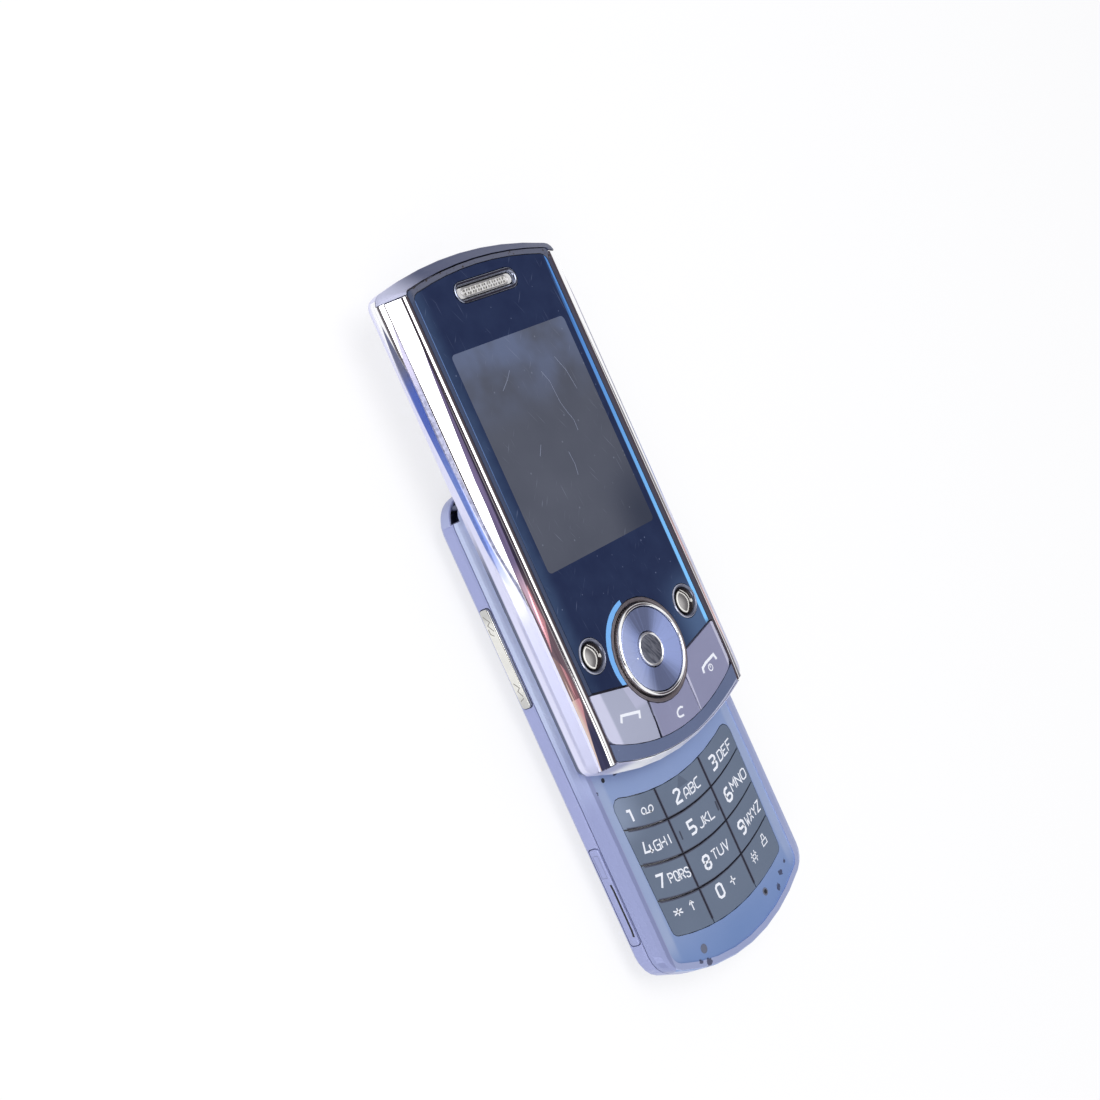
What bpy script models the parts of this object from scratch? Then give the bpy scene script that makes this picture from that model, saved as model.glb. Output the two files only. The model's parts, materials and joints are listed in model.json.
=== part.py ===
"""Slider phone, shown open: a keypad half and a display half joined by a sheet-metal rail.

The phone lies on its back. X runs across it, +Y toward the earpiece and +Z out of the display.
All sizes are in metres. The origin is the middle of the open phone's footprint, on the rest face.
"""

import bpy
import bmesh
from math import asin, atan2, cos, hypot, pi, radians, sin, sqrt, tan
from mathutils import Matrix, Vector

# Clearances
SEAM = 0.00015
GAP = 0.0003
KEY_TRAVEL = 0.0003
ROCK_ANGLE = radians(2.0)

# Lower half, which holds the keypad and the battery
BASE_WIDTH = 0.0487
BASE_LENGTH = 0.09785
BASE_HEIGHT = 0.00778
BASE_TOP_RISE = 0.0033
BASE_BOTTOM_RISE = 0.00745
BASE_CORNER = 0.0055
BACK_EDGE = ((0.0, 0.005), (0.0006, 0.0032), (0.0015, 0.0019), (0.0026, 0.00075), (0.0036, 0.0))
SHOULDER_HEIGHT = 0.0036
SHOULDER_INSET = 0.0027
SHOULDER_END_INSET = 0.0005
PART_LINE = 0.006
BASE_WALL = 0.0013
FLOOR_EDGE = 0.0011
RIM_WIDTH = 0.0011
RIM_STEP = 0.0002
DECK_THICKNESS = 0.001

# Upper half, which holds the display
LIP_TO_KEYPAD = 0.0048
SLIDE_TOP_LEAD = 0.00015
SLIDE_SIDE_STEP = 0.0001
SLIDE_END_STEP = 0.00195
SLIDE_HEIGHT = 0.00595
HALF_GAP = 0.00027
SLIDE_TOP_RISE = 0.00322
SLIDE_BOTTOM_RISE = 0.0055
SLIDE_CORNER = 0.0024
UNDER_EDGE_HEIGHT = 0.00155
UNDER_EDGE_INSET = 0.0019
CHAMFER_HEIGHT = 0.0028
CHAMFER_INSET = 0.00505
CHAMFER_TOP_INSET = 0.00213
CHAMFER_BOTTOM_INSET = 0.0012
FACE_TOP_RISE = 0.00198
FACE_BOTTOM_RISE = 0.00374
FACE_CORNER = 0.0009
FACE_DROP = 0.0009
FACE_DROP_LENGTH = 0.0135
SLIDE_FLOOR = 0.0009
SLIDE_WALL = 0.00295

# Side trims: the share of the chamfer that they cover, near the earpiece and near the lip
TRIM_SHARE_TOP = 0.74
TRIM_SHARE_BOTTOM = 0.59
TRIM_DEPTH = 0.0013
TRIM_INNER_DEPTH = 0.0015
TRIM_REACH = 0.0042
TRIM_TOP_GAP = 0.0047
TRIM_BOTTOM_GAP = 0.00365
TRIM_FOOT = 0.005
TRIM_BEND_TOP = 0.0500
TRIM_BEND_BOTTOM = 0.0575
CAP_DEPTH = 0.0029
CAP_LENGTH = 0.012

# Face
LENS_FRAME = 0.00109
LENS_THICKNESS = 0.00105
LENS_CORNER = 0.0016
LENS_RISE = 0.0174
LENS_BOTTOM_SLOPE = 0.215
FACE_PLATE = 0.001
FACE_PLATE_DEPTH = 0.0015
DISPLAY_SIDE = 0.00251
DISPLAY_TO_NAV = 0.02001
DISPLAY_TOP = 0.01672
DISPLAY_THICKNESS = 0.0022
EAR_OFFSET = 0.0072
EAR_LENGTH = 0.0168
EAR_HEIGHT = 0.0038
EAR_RING = 0.0008
EAR_RECESS = 0.0006
NAV_RISE = 0.01857
NAV_RADIUS = 0.00846
NAV_RING_WIDTH = 0.0007
NAV_PROUD = 0.0008
NAV_DISH = 0.00035
BEZEL_WIDTH = 0.0008
OK_RADIUS = 0.00315
SOFT_EDGE = 0.00396
SOFT_RISE = 0.00423
SOFT_CLEAR = 0.0006
SOFT_RING_RADIUS = 0.0032
SOFT_KEY_RADIUS = 0.0024
SOFT_PROUD = 0.0004
KEY_LINE_GAP = 0.00045
CALL_KEY_THICKNESS = 0.00105
CALL_KEY_DEPTH = 0.0149
CALL_KEY_RISE = 0.0046
CALL_KEY_CORNER = 0.0022
CLEAR_KEY_TOP_ANGLE = radians(233.0)
CLEAR_KEY_BOTTOM_HALF = 0.0063
STEM_RADIUS = 0.001
FUNCTION_BOARD_THICKNESS = 0.0007

# Keypad
KEYPAD_BOTTOM = 0.0073
KEYPAD_ROWS = (0.0059, 0.0068, 0.0068, 0.0068)
KEYPAD_SIDE = 0.00325
KEYPAD_TAPER = 0.0008
OUTER_KEY_WIDTH = 0.0114
KEYPAD_RISE = 0.0036
KEYPAD_CORNER = 0.0016
KEY_SEAM = 0.0003
KEY_THICKNESS = 0.0015
MAT_THICKNESS = 0.0003

# Inside the lower half
BOARD_THICKNESS = 0.0008
BOARD_HEIGHT = 0.0045
COVER_SIDE = 0.001
COVER_HEAD = 0.0018
COVER_THICKNESS = 0.00095
BATTERY_THICKNESS = 0.0029
BAY_WALL = 0.0013
BAY_SIDE = 0.00095
HEAD_ROOM = 0.0076
BAY_FLOOR = 0.002
SHIELD_SIZE = (0.019, 0.0115, 0.0019)
SIM_SIZE = (0.0145, 0.0145, 0.0018)
CARD_SIZE = (0.0148, 0.0125, 0.0018)
PORT_SIZE = (0.005, 0.0098, 0.0017)
SPEAKER_RADIUS = 0.0048
MOTOR_RADIUS = 0.0038
COIN_THICKNESS = 0.0018
ANTENNA_SIZE = (0.030, 0.0043, 0.0022)
ANTENNA_END = 0.0052
COIN_EDGE = 0.0023
BOARD_SIDE = 0.0008
BOARD_HEAD = 0.0052
BOARD_FOOT = 0.0073

# Side keys and covers
SIDE_PROUD = 0.0003
SIDE_BAND_BOTTOM = 0.0037
SIDE_BAND_TOP = 0.0059
SIDE_KEY_DEPTH = 0.0014
VOLUME_LENGTH = 0.0184
VOLUME_DROP = 0.0309
CAMERA_KEY_LENGTH = 0.009
CAMERA_KEY_DROP = 0.0407
CARD_COVER_LENGTH = 0.0182
CARD_COVER_SHIFT = 0.0038
PORT_COVER_LENGTH = 0.0112
PORT_COVER_DROP = 0.0242
COVER_DOOR_DEPTH = 0.0007
STRAP_DROP = 0.0041
STRAP_EDGE = 0.0027
STRAP_SLOT = 0.0042
STRAP_SLOT_HEIGHT = 0.0036
STRAP_SLOT_BOTTOM = 0.0034
STRAP_POST_RADIUS = 0.0007

# Rail and carriage
RAIL_SIDE = 0.00965
RAIL_TO_KEYPAD = 0.0033
TRAY_WALL = 0.0007
RAIL_TOP = 0.0045
RAIL_METAL = 0.0003
RAIL_DEPTH = 0.00148
RAIL_LIP = 0.0018
CARRIAGE_METAL = 0.00028
TAB_X = 0.0065
TAB_WIDTH = 0.005
TAB_END = 0.0015
FLEX_WIDTH = 0.0072
FLEX_THICKNESS = 0.00016
FLEX_END = 0.005
CAMERA_OFFSET = 0.0110
CAMERA_SIZE = 0.0068
CAMERA_RING_RADIUS = 0.0040
RECEIVER_THICKNESS = 0.0018
RECEIVER_WIDTH = 0.0106
RECEIVER_HEIGHT = 0.0040
GIMBAL_OUTER = 0.0048
GIMBAL_INNER = 0.0036

# Places that follow from the sizes above
SLIDE_WIDTH = BASE_WIDTH - 2 * SLIDE_SIDE_STEP
SLIDE_LENGTH = BASE_LENGTH - SLIDE_END_STEP
SLIDE_TRAVEL = KEYPAD_BOTTOM + sum(KEYPAD_ROWS) + LIP_TO_KEYPAD - (BASE_LENGTH + SLIDE_TOP_LEAD - SLIDE_LENGTH)
OPEN_LENGTH = BASE_LENGTH + SLIDE_TOP_LEAD + SLIDE_TRAVEL
BASE_BOTTOM = -OPEN_LENGTH / 2
BASE_TOP = BASE_BOTTOM + BASE_LENGTH
SLIDE_TOP = OPEN_LENGTH / 2
SLIDE_BOTTOM = SLIDE_TOP - SLIDE_LENGTH
DECK = BASE_HEIGHT - RIM_STEP
UNDER = BASE_HEIGHT + HALF_GAP
FACE = UNDER + SLIDE_HEIGHT
FACE_HALF = SLIDE_WIDTH / 2 - CHAMFER_INSET
FACE_TOP = SLIDE_TOP - CHAMFER_TOP_INSET
FACE_BOTTOM = SLIDE_BOTTOM + CHAMFER_BOTTOM_INSET
LENS_HALF = FACE_HALF - LENS_FRAME
NAV_Y = SLIDE_BOTTOM + NAV_RISE
NAV_WELL = NAV_RADIUS + GAP + BEZEL_WIDTH
SOFT_X = LENS_HALF - SOFT_EDGE
SOFT_AWAY = NAV_WELL + SOFT_RING_RADIUS + 2 * SEAM + SOFT_CLEAR
SOFT_Y = NAV_Y + max(SOFT_RISE, sqrt(max(0.0, SOFT_AWAY ** 2 - SOFT_X ** 2)))
EAR_Y = SLIDE_TOP - EAR_OFFSET
LENS_LOW = SLIDE_BOTTOM + LENS_RISE
CALL_LOW = NAV_Y - CALL_KEY_DEPTH
FACE_PLATE_TOP = FACE - FACE_PLATE_DEPTH
FACE_PLATE_BOTTOM = FACE_PLATE_TOP - FACE_PLATE
DISPLAY_WIDTH = 2 * (LENS_HALF - DISPLAY_SIDE)
DISPLAY_LENGTH = SLIDE_TOP - DISPLAY_TOP - NAV_Y - DISPLAY_TO_NAV
DISPLAY_Y = SLIDE_TOP - DISPLAY_TOP - DISPLAY_LENGTH / 2
FUNCTION_BOARD_TOP = FACE_PLATE_BOTTOM - GAP - KEY_TRAVEL
BOARD_TOP = BOARD_HEIGHT + BOARD_THICKNESS
MAT_BOTTOM = BOARD_TOP + SEAM
KEYPAD_LOW = BASE_BOTTOM + KEYPAD_BOTTOM
KEYPAD_HIGH = KEYPAD_LOW + sum(KEYPAD_ROWS)
KEYPAD_HALF_TOP = BASE_WIDTH / 2 - SHOULDER_INSET - KEYPAD_SIDE
KEYPAD_HALF_BOTTOM = KEYPAD_HALF_TOP - KEYPAD_TAPER
KEYPAD_COLUMN = KEYPAD_HALF_TOP - OUTER_KEY_WIDTH
RAIL_WIDTH = BASE_WIDTH - 2 * RAIL_SIDE
RAIL_LOW = KEYPAD_HIGH + KEYPAD_RISE + RAIL_TO_KEYPAD
RAIL_LENGTH = BASE_TOP - RAIL_TOP - RAIL_LOW
RAIL_Y = RAIL_LOW + RAIL_LENGTH / 2
CARRIAGE_WIDTH = RAIL_WIDTH - 2 * RAIL_METAL - 2 * GAP
CARRIAGE_LENGTH = RAIL_LENGTH - SLIDE_TRAVEL - 2 * GAP
TAB_LENGTH = CARRIAGE_LENGTH - 2 * TAB_END
INSIDE_HALF = BASE_WIDTH / 2 - BASE_WALL - FLOOR_EDGE * 0.7 - GAP
BATTERY_WIDTH = 2 * (INSIDE_HALF - PORT_SIZE[0] - GAP - BAY_SIDE)
COVER_WIDTH = BATTERY_WIDTH + 2 * COVER_SIDE
ROW_LOW = BASE_BOTTOM + ANTENNA_END + ANTENNA_SIZE[1] + GAP
ROW_HIGH = ROW_LOW + max(SIM_SIZE[1], CARD_SIZE[1])
BATTERY_LOW = ROW_HIGH + GAP + BAY_WALL
HEAD_LOW = BASE_TOP - HEAD_ROOM - 2 * SPEAKER_RADIUS
BATTERY_LENGTH = HEAD_LOW - BAY_WALL - GAP - BATTERY_LOW
BATTERY_Y = BATTERY_LOW + BATTERY_LENGTH / 2
VOLUME_Y = BASE_TOP - VOLUME_DROP
CAMERA_KEY_Y = BASE_TOP - CAMERA_KEY_DROP
PORT_COVER_Y = BASE_TOP - PORT_COVER_DROP
CARD_COVER_Y = ROW_HIGH - CARD_SIZE[1] / 2 + CARD_COVER_SHIFT
STRAP_X = -(BASE_WIDTH / 2 - STRAP_EDGE)
STRAP_Y = BASE_TOP - STRAP_DROP
SIDE_Z = (SIDE_BAND_BOTTOM + SIDE_BAND_TOP) / 2
CAMERA_Y = SLIDE_TOP - CAMERA_OFFSET
LID_Z = COVER_THICKNESS + GAP


for old in list(bpy.data.objects):
    bpy.data.objects.remove(old)


def material(name, colour, roughness, metallic=0.0):
    made = bpy.data.materials.new(name)
    made.use_nodes = True
    shader = made.node_tree.nodes["Principled BSDF"]
    shader.inputs["Base Color"].default_value = (*colour, 1.0)
    shader.inputs["Roughness"].default_value = roughness
    shader.inputs["Metallic"].default_value = metallic
    return made


def end_arc(half, apex, rise, radius, full_half, side_in, end_in, steps, corner_steps):
    """Points from the right side over the top arc to the left side, apex upward."""
    big = (full_half ** 2 + rise ** 2) / (2 * rise)
    centre = apex - big
    big = big - end_in
    small = max(radius - (side_in + end_in) / 2, 0.0003)
    corner = (half - small, centre + sqrt((big - small) ** 2 - (half - small) ** 2))
    turn = atan2(corner[1] - centre, corner[0])
    right = []
    for i in range(corner_steps + 1):
        a = turn * i / corner_steps
        right.append((corner[0] + small * cos(a), corner[1] + small * sin(a)))
    arc = []
    for i in range(1, steps):
        a = turn + (pi - 2 * turn) * i / steps
        arc.append((big * cos(a), centre + big * sin(a)))
    return right + arc + [(-x, y) for x, y in reversed(right)]


def outline(half, top, top_rise, bottom, bottom_rise, radius, side_in=0.0, top_in=0.0,
            bottom_in=0.0, steps=8, corner_steps=4):
    """Closed outline, anticlockwise: straight sides, bowed ends and round corners."""
    inner = half - side_in
    upper = end_arc(inner, top, top_rise, radius, half, side_in, top_in, steps, corner_steps)
    lower = end_arc(inner, -bottom, bottom_rise, radius, half, side_in, bottom_in, steps, corner_steps)
    return upper + [(-x, -y) for x, y in lower]


def base_outline(side_in=0.0, end_in=0.0):
    return outline(BASE_WIDTH / 2, BASE_TOP, BASE_TOP_RISE, BASE_BOTTOM, BASE_BOTTOM_RISE,
                   BASE_CORNER, side_in, end_in, end_in)


def face_outline(inset=0.0, steps=8):
    return outline(FACE_HALF, FACE_TOP, FACE_TOP_RISE, FACE_BOTTOM, FACE_BOTTOM_RISE,
                   FACE_CORNER, inset, inset, inset, steps, 2)


FALL_LINES = [SLIDE_BOTTOM + FACE_DROP_LENGTH * (1 - i / 4) for i in range(5)]


def face_drop(y):
    """How far the face falls away toward the lip, straight from one fall line to the next."""
    reach = min(max(0.0, (FALL_LINES[0] - y) / FACE_DROP_LENGTH), 1.25) * 4
    step = int(reach)
    low, high = (step / 4) ** 2, ((step + 1) / 4) ** 2
    return FACE_DROP * (low + (high - low) * (reach - step))


def fillet(points, radii, steps=3):
    """Rounds the corners of a polygon that have a radius."""
    made = []
    count = len(points)
    for i, (here, radius) in enumerate(zip(points, radii)):
        here = Vector(here)
        if radius <= 0:
            made.append(tuple(here))
            continue
        before = (Vector(points[i - 1]) - here).normalized()
        after = (Vector(points[(i + 1) % count]) - here).normalized()
        half = before.angle(after) / 2
        reach = radius / tan(half)
        centre = here + (before + after).normalized() * radius / sin(half)
        start = here + before * reach - centre
        end = here + after * reach - centre
        first = atan2(start.y, start.x)
        swing = (atan2(end.y, end.x) - first + pi) % (2 * pi) - pi
        for k in range(steps + 1):
            a = first + swing * k / steps
            made.append((centre.x + radius * cos(a), centre.y + radius * sin(a)))
    return made


def rectangle(width, length, x=0.0, y=0.0, radius=0.0, steps=3):
    corners = [(x + width / 2, y - length / 2), (x + width / 2, y + length / 2),
               (x - width / 2, y + length / 2), (x - width / 2, y - length / 2)]
    return fillet(corners, [radius] * 4, steps)


def circle(radius, x=0.0, y=0.0, steps=16):
    return [(x + radius * cos(2 * pi * i / steps), y + radius * sin(2 * pi * i / steps))
            for i in range(steps)]


def pill(width, height, x, y, steps=5):
    radius = height / 2
    reach = width / 2 - radius
    right = [(x + reach + radius * cos(a), y + radius * sin(a))
             for a in [-pi / 2 + pi * i / steps for i in range(steps + 1)]]
    return right + [(2 * x - px, 2 * y - py) for px, py in right]


def mesh_object(name, rings, look=None, ring_of_rings=False, fall=None):
    """A closed solid from a stack of rings with the same number of points.

    With fall, a function of height, the solid follows the face down toward the lip."""
    shape = bmesh.new()
    rows = [[shape.verts.new(point) for point in ring] for ring in rings]
    count = len(rows[0])
    pairs = list(zip(rows, rows[1:]))
    if ring_of_rings:
        pairs.append((rows[-1], rows[0]))
    for low, high in pairs:
        for i in range(count):
            j = (i + 1) % count
            shape.faces.new((low[i], low[j], high[j], high[i]))
    if not ring_of_rings:
        shape.faces.new(reversed(rows[0]))
        shape.faces.new(rows[-1])
    bmesh.ops.recalc_face_normals(shape, faces=shape.faces)
    if fall:
        for y in FALL_LINES:
            whole = shape.verts[:] + shape.edges[:] + shape.faces[:]
            bmesh.ops.bisect_plane(shape, geom=whole, plane_co=(0, y, 0), plane_no=(0, 1, 0))
        for vert in shape.verts:
            vert.co.z -= face_drop(vert.co.y) * fall(vert.co.z)
    bmesh.ops.connect_verts_nonplanar(shape, angle_limit=radians(0.02), faces=shape.faces[:])
    mesh = bpy.data.meshes.new(name)
    shape.to_mesh(mesh)
    shape.free()
    made = bpy.data.objects.new(name, mesh)
    bpy.context.scene.collection.objects.link(made)
    if look:
        mesh.materials.append(look)
        mesh.shade_smooth()
        mesh.set_sharp_from_angle(angle=radians(32))
    else:
        made.hide_render = True
        made.display_type = "WIRE"
    return made


def prism(name, points, low, high, look=None, fall=False):
    """A flat piece between two heights. With fall, it follows the face toward the lip."""
    rings = [[(x, y, z) for x, y in points] for z in (low, high)]
    return mesh_object(name, rings, look, fall=(lambda z: 1.0) if fall else None)


def turned(name, profile, x, y, look=None, steps=32, hollow=True):
    """A turned piece from (radius, height) points. A hollow one closes on itself."""
    rings = []
    for i in range(steps):
        a = 2 * pi * i / steps
        rings.append([(x + r * cos(a), y + r * sin(a), z) for r, z in profile])
    if hollow:
        return mesh_object(name, rings, look, ring_of_rings=True)
    stack = [[ring[k] for ring in rings] for k in range(len(profile))]
    return mesh_object(name, stack, look)


def block(name, size, x, y, low, look=None, radius=0.0):
    return prism(name, rectangle(size[0], size[1], x, y, radius), low, low + size[2], look)


def change(piece, tool, operation="DIFFERENCE"):
    step = piece.modifiers.new(operation.title(), "BOOLEAN")
    step.operation = operation
    step.object = tool
    step.solver = "EXACT"


def pivot(piece, x, y, z):
    """Puts the object's origin on its joint without moving its shape."""
    piece.data.transform(Matrix.Translation((-x, -y, -z)))
    piece.location = (x, y, z)


# Colours
BLUE_SATIN = (0.17, 0.28, 0.58)
LAVENDER = (0.60, 0.58, 0.78)
SLATE = (0.10, 0.12, 0.22)
base_paint = material("base_paint", BLUE_SATIN, 0.32, 0.35)
base_back = material("base_back", (0.36, 0.37, 0.62), 0.35, 0.3)
cover_paint = material("cover_paint", (0.34, 0.36, 0.60), 0.38, 0.3)
card_door = material("card_door", (0.36, 0.37, 0.62), 0.35, 0.3)
port_door = material("port_door", (0.30, 0.31, 0.52), 0.45)
volume_chrome = material("volume_chrome", (0.86, 0.85, 0.80), 0.18, 1.0)
camera_key_chrome = material("camera_key_chrome", (0.80, 0.80, 0.82), 0.18, 1.0)
post_steel = material("post_steel", (0.60, 0.60, 0.62), 0.3, 1.0)
key_paint = material("key_paint", (0.13, 0.16, 0.21), 0.4)
mat_rubber = material("mat_rubber", (0.75, 0.75, 0.78), 0.6)
board_green = material("board_green", (0.02, 0.14, 0.07), 0.5)
shield_steel = material("shield_steel", (0.62, 0.62, 0.64), 0.35, 1.0)
battery_wrap = material("battery_wrap", (0.05, 0.05, 0.06), 0.5)
sim_steel = material("sim_steel", (0.66, 0.66, 0.66), 0.4, 1.0)
card_steel = material("card_steel", (0.58, 0.59, 0.60), 0.4, 1.0)
port_steel = material("port_steel", (0.55, 0.55, 0.57), 0.35, 1.0)
speaker_black = material("speaker_black", (0.03, 0.03, 0.03), 0.5)
motor_steel = material("motor_steel", (0.6, 0.6, 0.6), 0.3, 1.0)
antenna_plastic = material("antenna_plastic", (0.72, 0.70, 0.64), 0.5)
rail_steel = material("rail_steel", (0.50, 0.50, 0.52), 0.3, 1.0)
flex_amber = material("flex_amber", (0.45, 0.20, 0.04), 0.35)
carriage_steel = material("carriage_steel", (0.56, 0.56, 0.58), 0.3, 1.0)
slide_paint = material("slide_paint", LAVENDER, 0.3, 0.3)
cap_paint = material("cap_paint", (0.50, 0.50, 0.70), 0.35, 0.3)
trim_chrome = material("trim_chrome", (0.92, 0.92, 0.95), 0.08, 1.0)
frame_paint = material("frame_paint", (0.11, 0.11, 0.14), 0.3, 0.5)
lens_glass = material("lens_glass", (0.012, 0.022, 0.06), 0.06)
display_grey = material("display_grey", (0.08, 0.10, 0.13), 0.2)
chin_paint = material("chin_paint", SLATE, 0.35, 0.3)
bezel_chrome = material("bezel_chrome", (0.35, 0.34, 0.36), 0.15, 1.0)
ear_chrome = material("ear_chrome", (0.6, 0.6, 0.64), 0.15, 1.0)
mesh_metal = material("mesh_metal", (0.82, 0.82, 0.80), 0.3, 1.0)
receiver_black = material("receiver_black", (0.04, 0.04, 0.04), 0.5)
soft_ring_metal = material("soft_ring_metal", (0.30, 0.33, 0.40), 0.2, 1.0)
soft_chrome = material("soft_chrome", (0.75, 0.74, 0.72), 0.12, 1.0)
call_paint = material("call_paint", (0.42, 0.41, 0.60), 0.35, 0.3)
nav_chrome = material("nav_chrome", (0.85, 0.85, 0.87), 0.1, 1.0)
nav_metal = material("nav_metal", (0.25, 0.29, 0.62), 0.3, 0.9)
ok_metal = material("ok_metal", (0.55, 0.55, 0.56), 0.25, 1.0)
gimbal_plastic = material("gimbal_plastic", (0.08, 0.08, 0.09), 0.5)
camera_black = material("camera_black", (0.03, 0.03, 0.035), 0.25)
camera_ring = material("camera_ring", (0.7, 0.7, 0.74), 0.2, 1.0)


# Lower half: outer form
def base_form(name, low, high, look=None):
    """The lower half's outer form between two heights, with its round edges."""
    rings = [(z, inset, 1.0) for z, inset in BACK_EDGE]
    share = SHOULDER_END_INSET / SHOULDER_INSET
    for i in range(5):
        a = pi / 2 * i / 4
        z = BASE_HEIGHT - SHOULDER_HEIGHT * (1 - sin(a))
        rings.append((z, SHOULDER_INSET * (1 - cos(a)), share))
    kept = []
    for (z0, in0, s0), (z1, in1, s1) in zip(rings, rings[1:]):
        for level in (low, high):
            if z0 < level < z1:
                t = (level - z0) / (z1 - z0)
                kept.append((level, in0 + t * (in1 - in0), s0 + t * (s1 - s0)))
    kept += [ring for ring in rings if low <= ring[0] <= high]
    kept.sort()
    stack = [[(x, y, z) for x, y in base_outline(inset, inset * s)] for z, inset, s in kept]
    return mesh_object(name, stack, look)


def keypad_half(y_line):
    """Half width of the keypad at the height of one row line."""
    share = (KEYPAD_HIGH - y_line) / (KEYPAD_HIGH - KEYPAD_LOW)
    return KEYPAD_HALF_TOP + (KEYPAD_HALF_BOTTOM - KEYPAD_HALF_TOP) * share


def row_curve(y_line, left, right, steps):
    """Points along one row line of the keypad, which bows down in the middle."""
    points = []
    for i in range(steps + 1):
        x = left + (right - left) * i / steps
        points.append((x, y_line + KEYPAD_RISE * (x / KEYPAD_HALF_TOP) ** 2))
    return points


def key_outline(y_low, y_high, left, right, radii, steps):
    low = row_curve(y_low, left[0], right[0], steps)
    high = row_curve(y_high, left[1], right[1], steps)
    high.reverse()
    corners = [0.0] * len(low + high)
    corners[0] = radii[0]
    corners[steps] = radii[1]
    corners[steps + 1] = radii[2]
    corners[-1] = radii[3]
    return fillet(low + high, corners, 3)


def keypad_outline(grow):
    bottom = keypad_half(KEYPAD_LOW) + grow
    top = keypad_half(KEYPAD_HIGH) + grow
    return key_outline(KEYPAD_LOW - grow, KEYPAD_HIGH + grow, (-bottom, -top), (bottom, top),
                       (KEYPAD_CORNER + grow,) * 4, 8)


def side_band(name, side, y, length, depth, proud, grow, look=None, radius=0.0):
    """A piece let into the lower half's side wall, along Y."""
    outer = side * (BASE_WIDTH / 2 + proud)
    inner = side * (BASE_WIDTH / 2 - depth)
    low = SIDE_BAND_BOTTOM - grow
    high = SIDE_BAND_TOP - SEAM + grow
    corners = rectangle(length + 2 * grow, high - low, y, (low + high) / 2, radius, 2)
    rings = [[(x, py, pz) for py, pz in corners] for x in (inner, outer)]
    return mesh_object(name, rings, look)


# Lower half: housings
front = base_form("base_front_housing", PART_LINE + SEAM / 2, BASE_HEIGHT, base_paint)
rear = base_form("base_rear_housing", 0.0, PART_LINE - SEAM / 2, base_back)
shoulder_share = SHOULDER_END_INSET / SHOULDER_INSET
deck_edge = base_outline(SHOULDER_INSET + RIM_WIDTH, SHOULDER_END_INSET + RIM_WIDTH)
deck_cut = prism("deck_cut", deck_edge, DECK, DECK + 0.002)
inner_edge = base_outline(SHOULDER_INSET / 2 + BASE_WALL, SHOULDER_INSET * shoulder_share + BASE_WALL)
front_hollow = prism("front_hollow", inner_edge, PART_LINE - 0.002, DECK - DECK_THICKNESS)
keypad_cut = prism("keypad_cut", keypad_outline(KEY_SEAM / 2), DECK - 0.003, DECK + 0.002)
rail_pocket = block("rail_pocket", (RAIL_WIDTH + 2 * GAP, RAIL_LENGTH + 2 * GAP, 0.004), 0, RAIL_Y,
                    DECK - RAIL_DEPTH)
for tool in (deck_cut, front_hollow, keypad_cut):
    change(front, tool)

# The tray that carries the rail hangs below the deck
tray = block("rail_tray", (RAIL_WIDTH + 2 * GAP + 2 * TRAY_WALL, RAIL_LENGTH + 2 * GAP + 2 * TRAY_WALL,
                           RAIL_DEPTH - GAP), 0, RAIL_Y, DECK - RAIL_DEPTH - 0.0004)
change(front, tray, "UNION")
change(front, rail_pocket)

strap_cut = block("strap_cut", (2 * STRAP_EDGE + 0.0006, STRAP_SLOT, STRAP_SLOT_HEIGHT), STRAP_X - 0.0015,
                  STRAP_Y, STRAP_SLOT_BOTTOM)
strap_hole = turned("strap_hole", [(STRAP_POST_RADIUS + SEAM, 0.0022), (STRAP_POST_RADIUS + SEAM, 0.0071)],
                    STRAP_X, STRAP_Y, steps=12, hollow=False)
for piece in (front, rear):
    change(piece, strap_cut)
    change(piece, strap_hole)
strap_post = turned("strap_post", [(STRAP_POST_RADIUS, 0.0024), (STRAP_POST_RADIUS, 0.0069)],
                    STRAP_X, STRAP_Y, post_steel, 12, False)

floor_wall = BASE_WALL + FLOOR_EDGE
rear_hollow = mesh_object("rear_hollow", [
    [(x, y, BAY_FLOOR) for x, y in base_outline(floor_wall, floor_wall)],
    [(x, y, BACK_EDGE[-1][0]) for x, y in base_outline(BASE_WALL, BASE_WALL)],
    [(x, y, PART_LINE + 0.001) for x, y in base_outline(BASE_WALL, BASE_WALL)]])
cover_top = BATTERY_LOW + BATTERY_LENGTH + COVER_HEAD
cover_back = BASE_BOTTOM - 0.002
cover_y = (cover_top + cover_back) / 2
cover_cut = prism("cover_cut", rectangle(COVER_WIDTH + 2 * SEAM, cover_top - cover_back + 2 * SEAM, 0,
                                         cover_y), -0.001, LID_Z)
cover_keep = prism("cover_keep", rectangle(COVER_WIDTH, cover_top - cover_back, 0, cover_y),
                   -0.001, COVER_THICKNESS)
bay_cut = block("bay_cut", (BATTERY_WIDTH + 2 * GAP, BATTERY_LENGTH + 2 * GAP, 0.005), 0, BATTERY_Y, 0.0005)
for tool in (rear_hollow, cover_cut, bay_cut):
    change(rear, tool)
battery_cover = base_form("battery_cover", 0.0, COVER_THICKNESS, cover_paint)
change(battery_cover, cover_keep, "INTERSECT")

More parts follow.
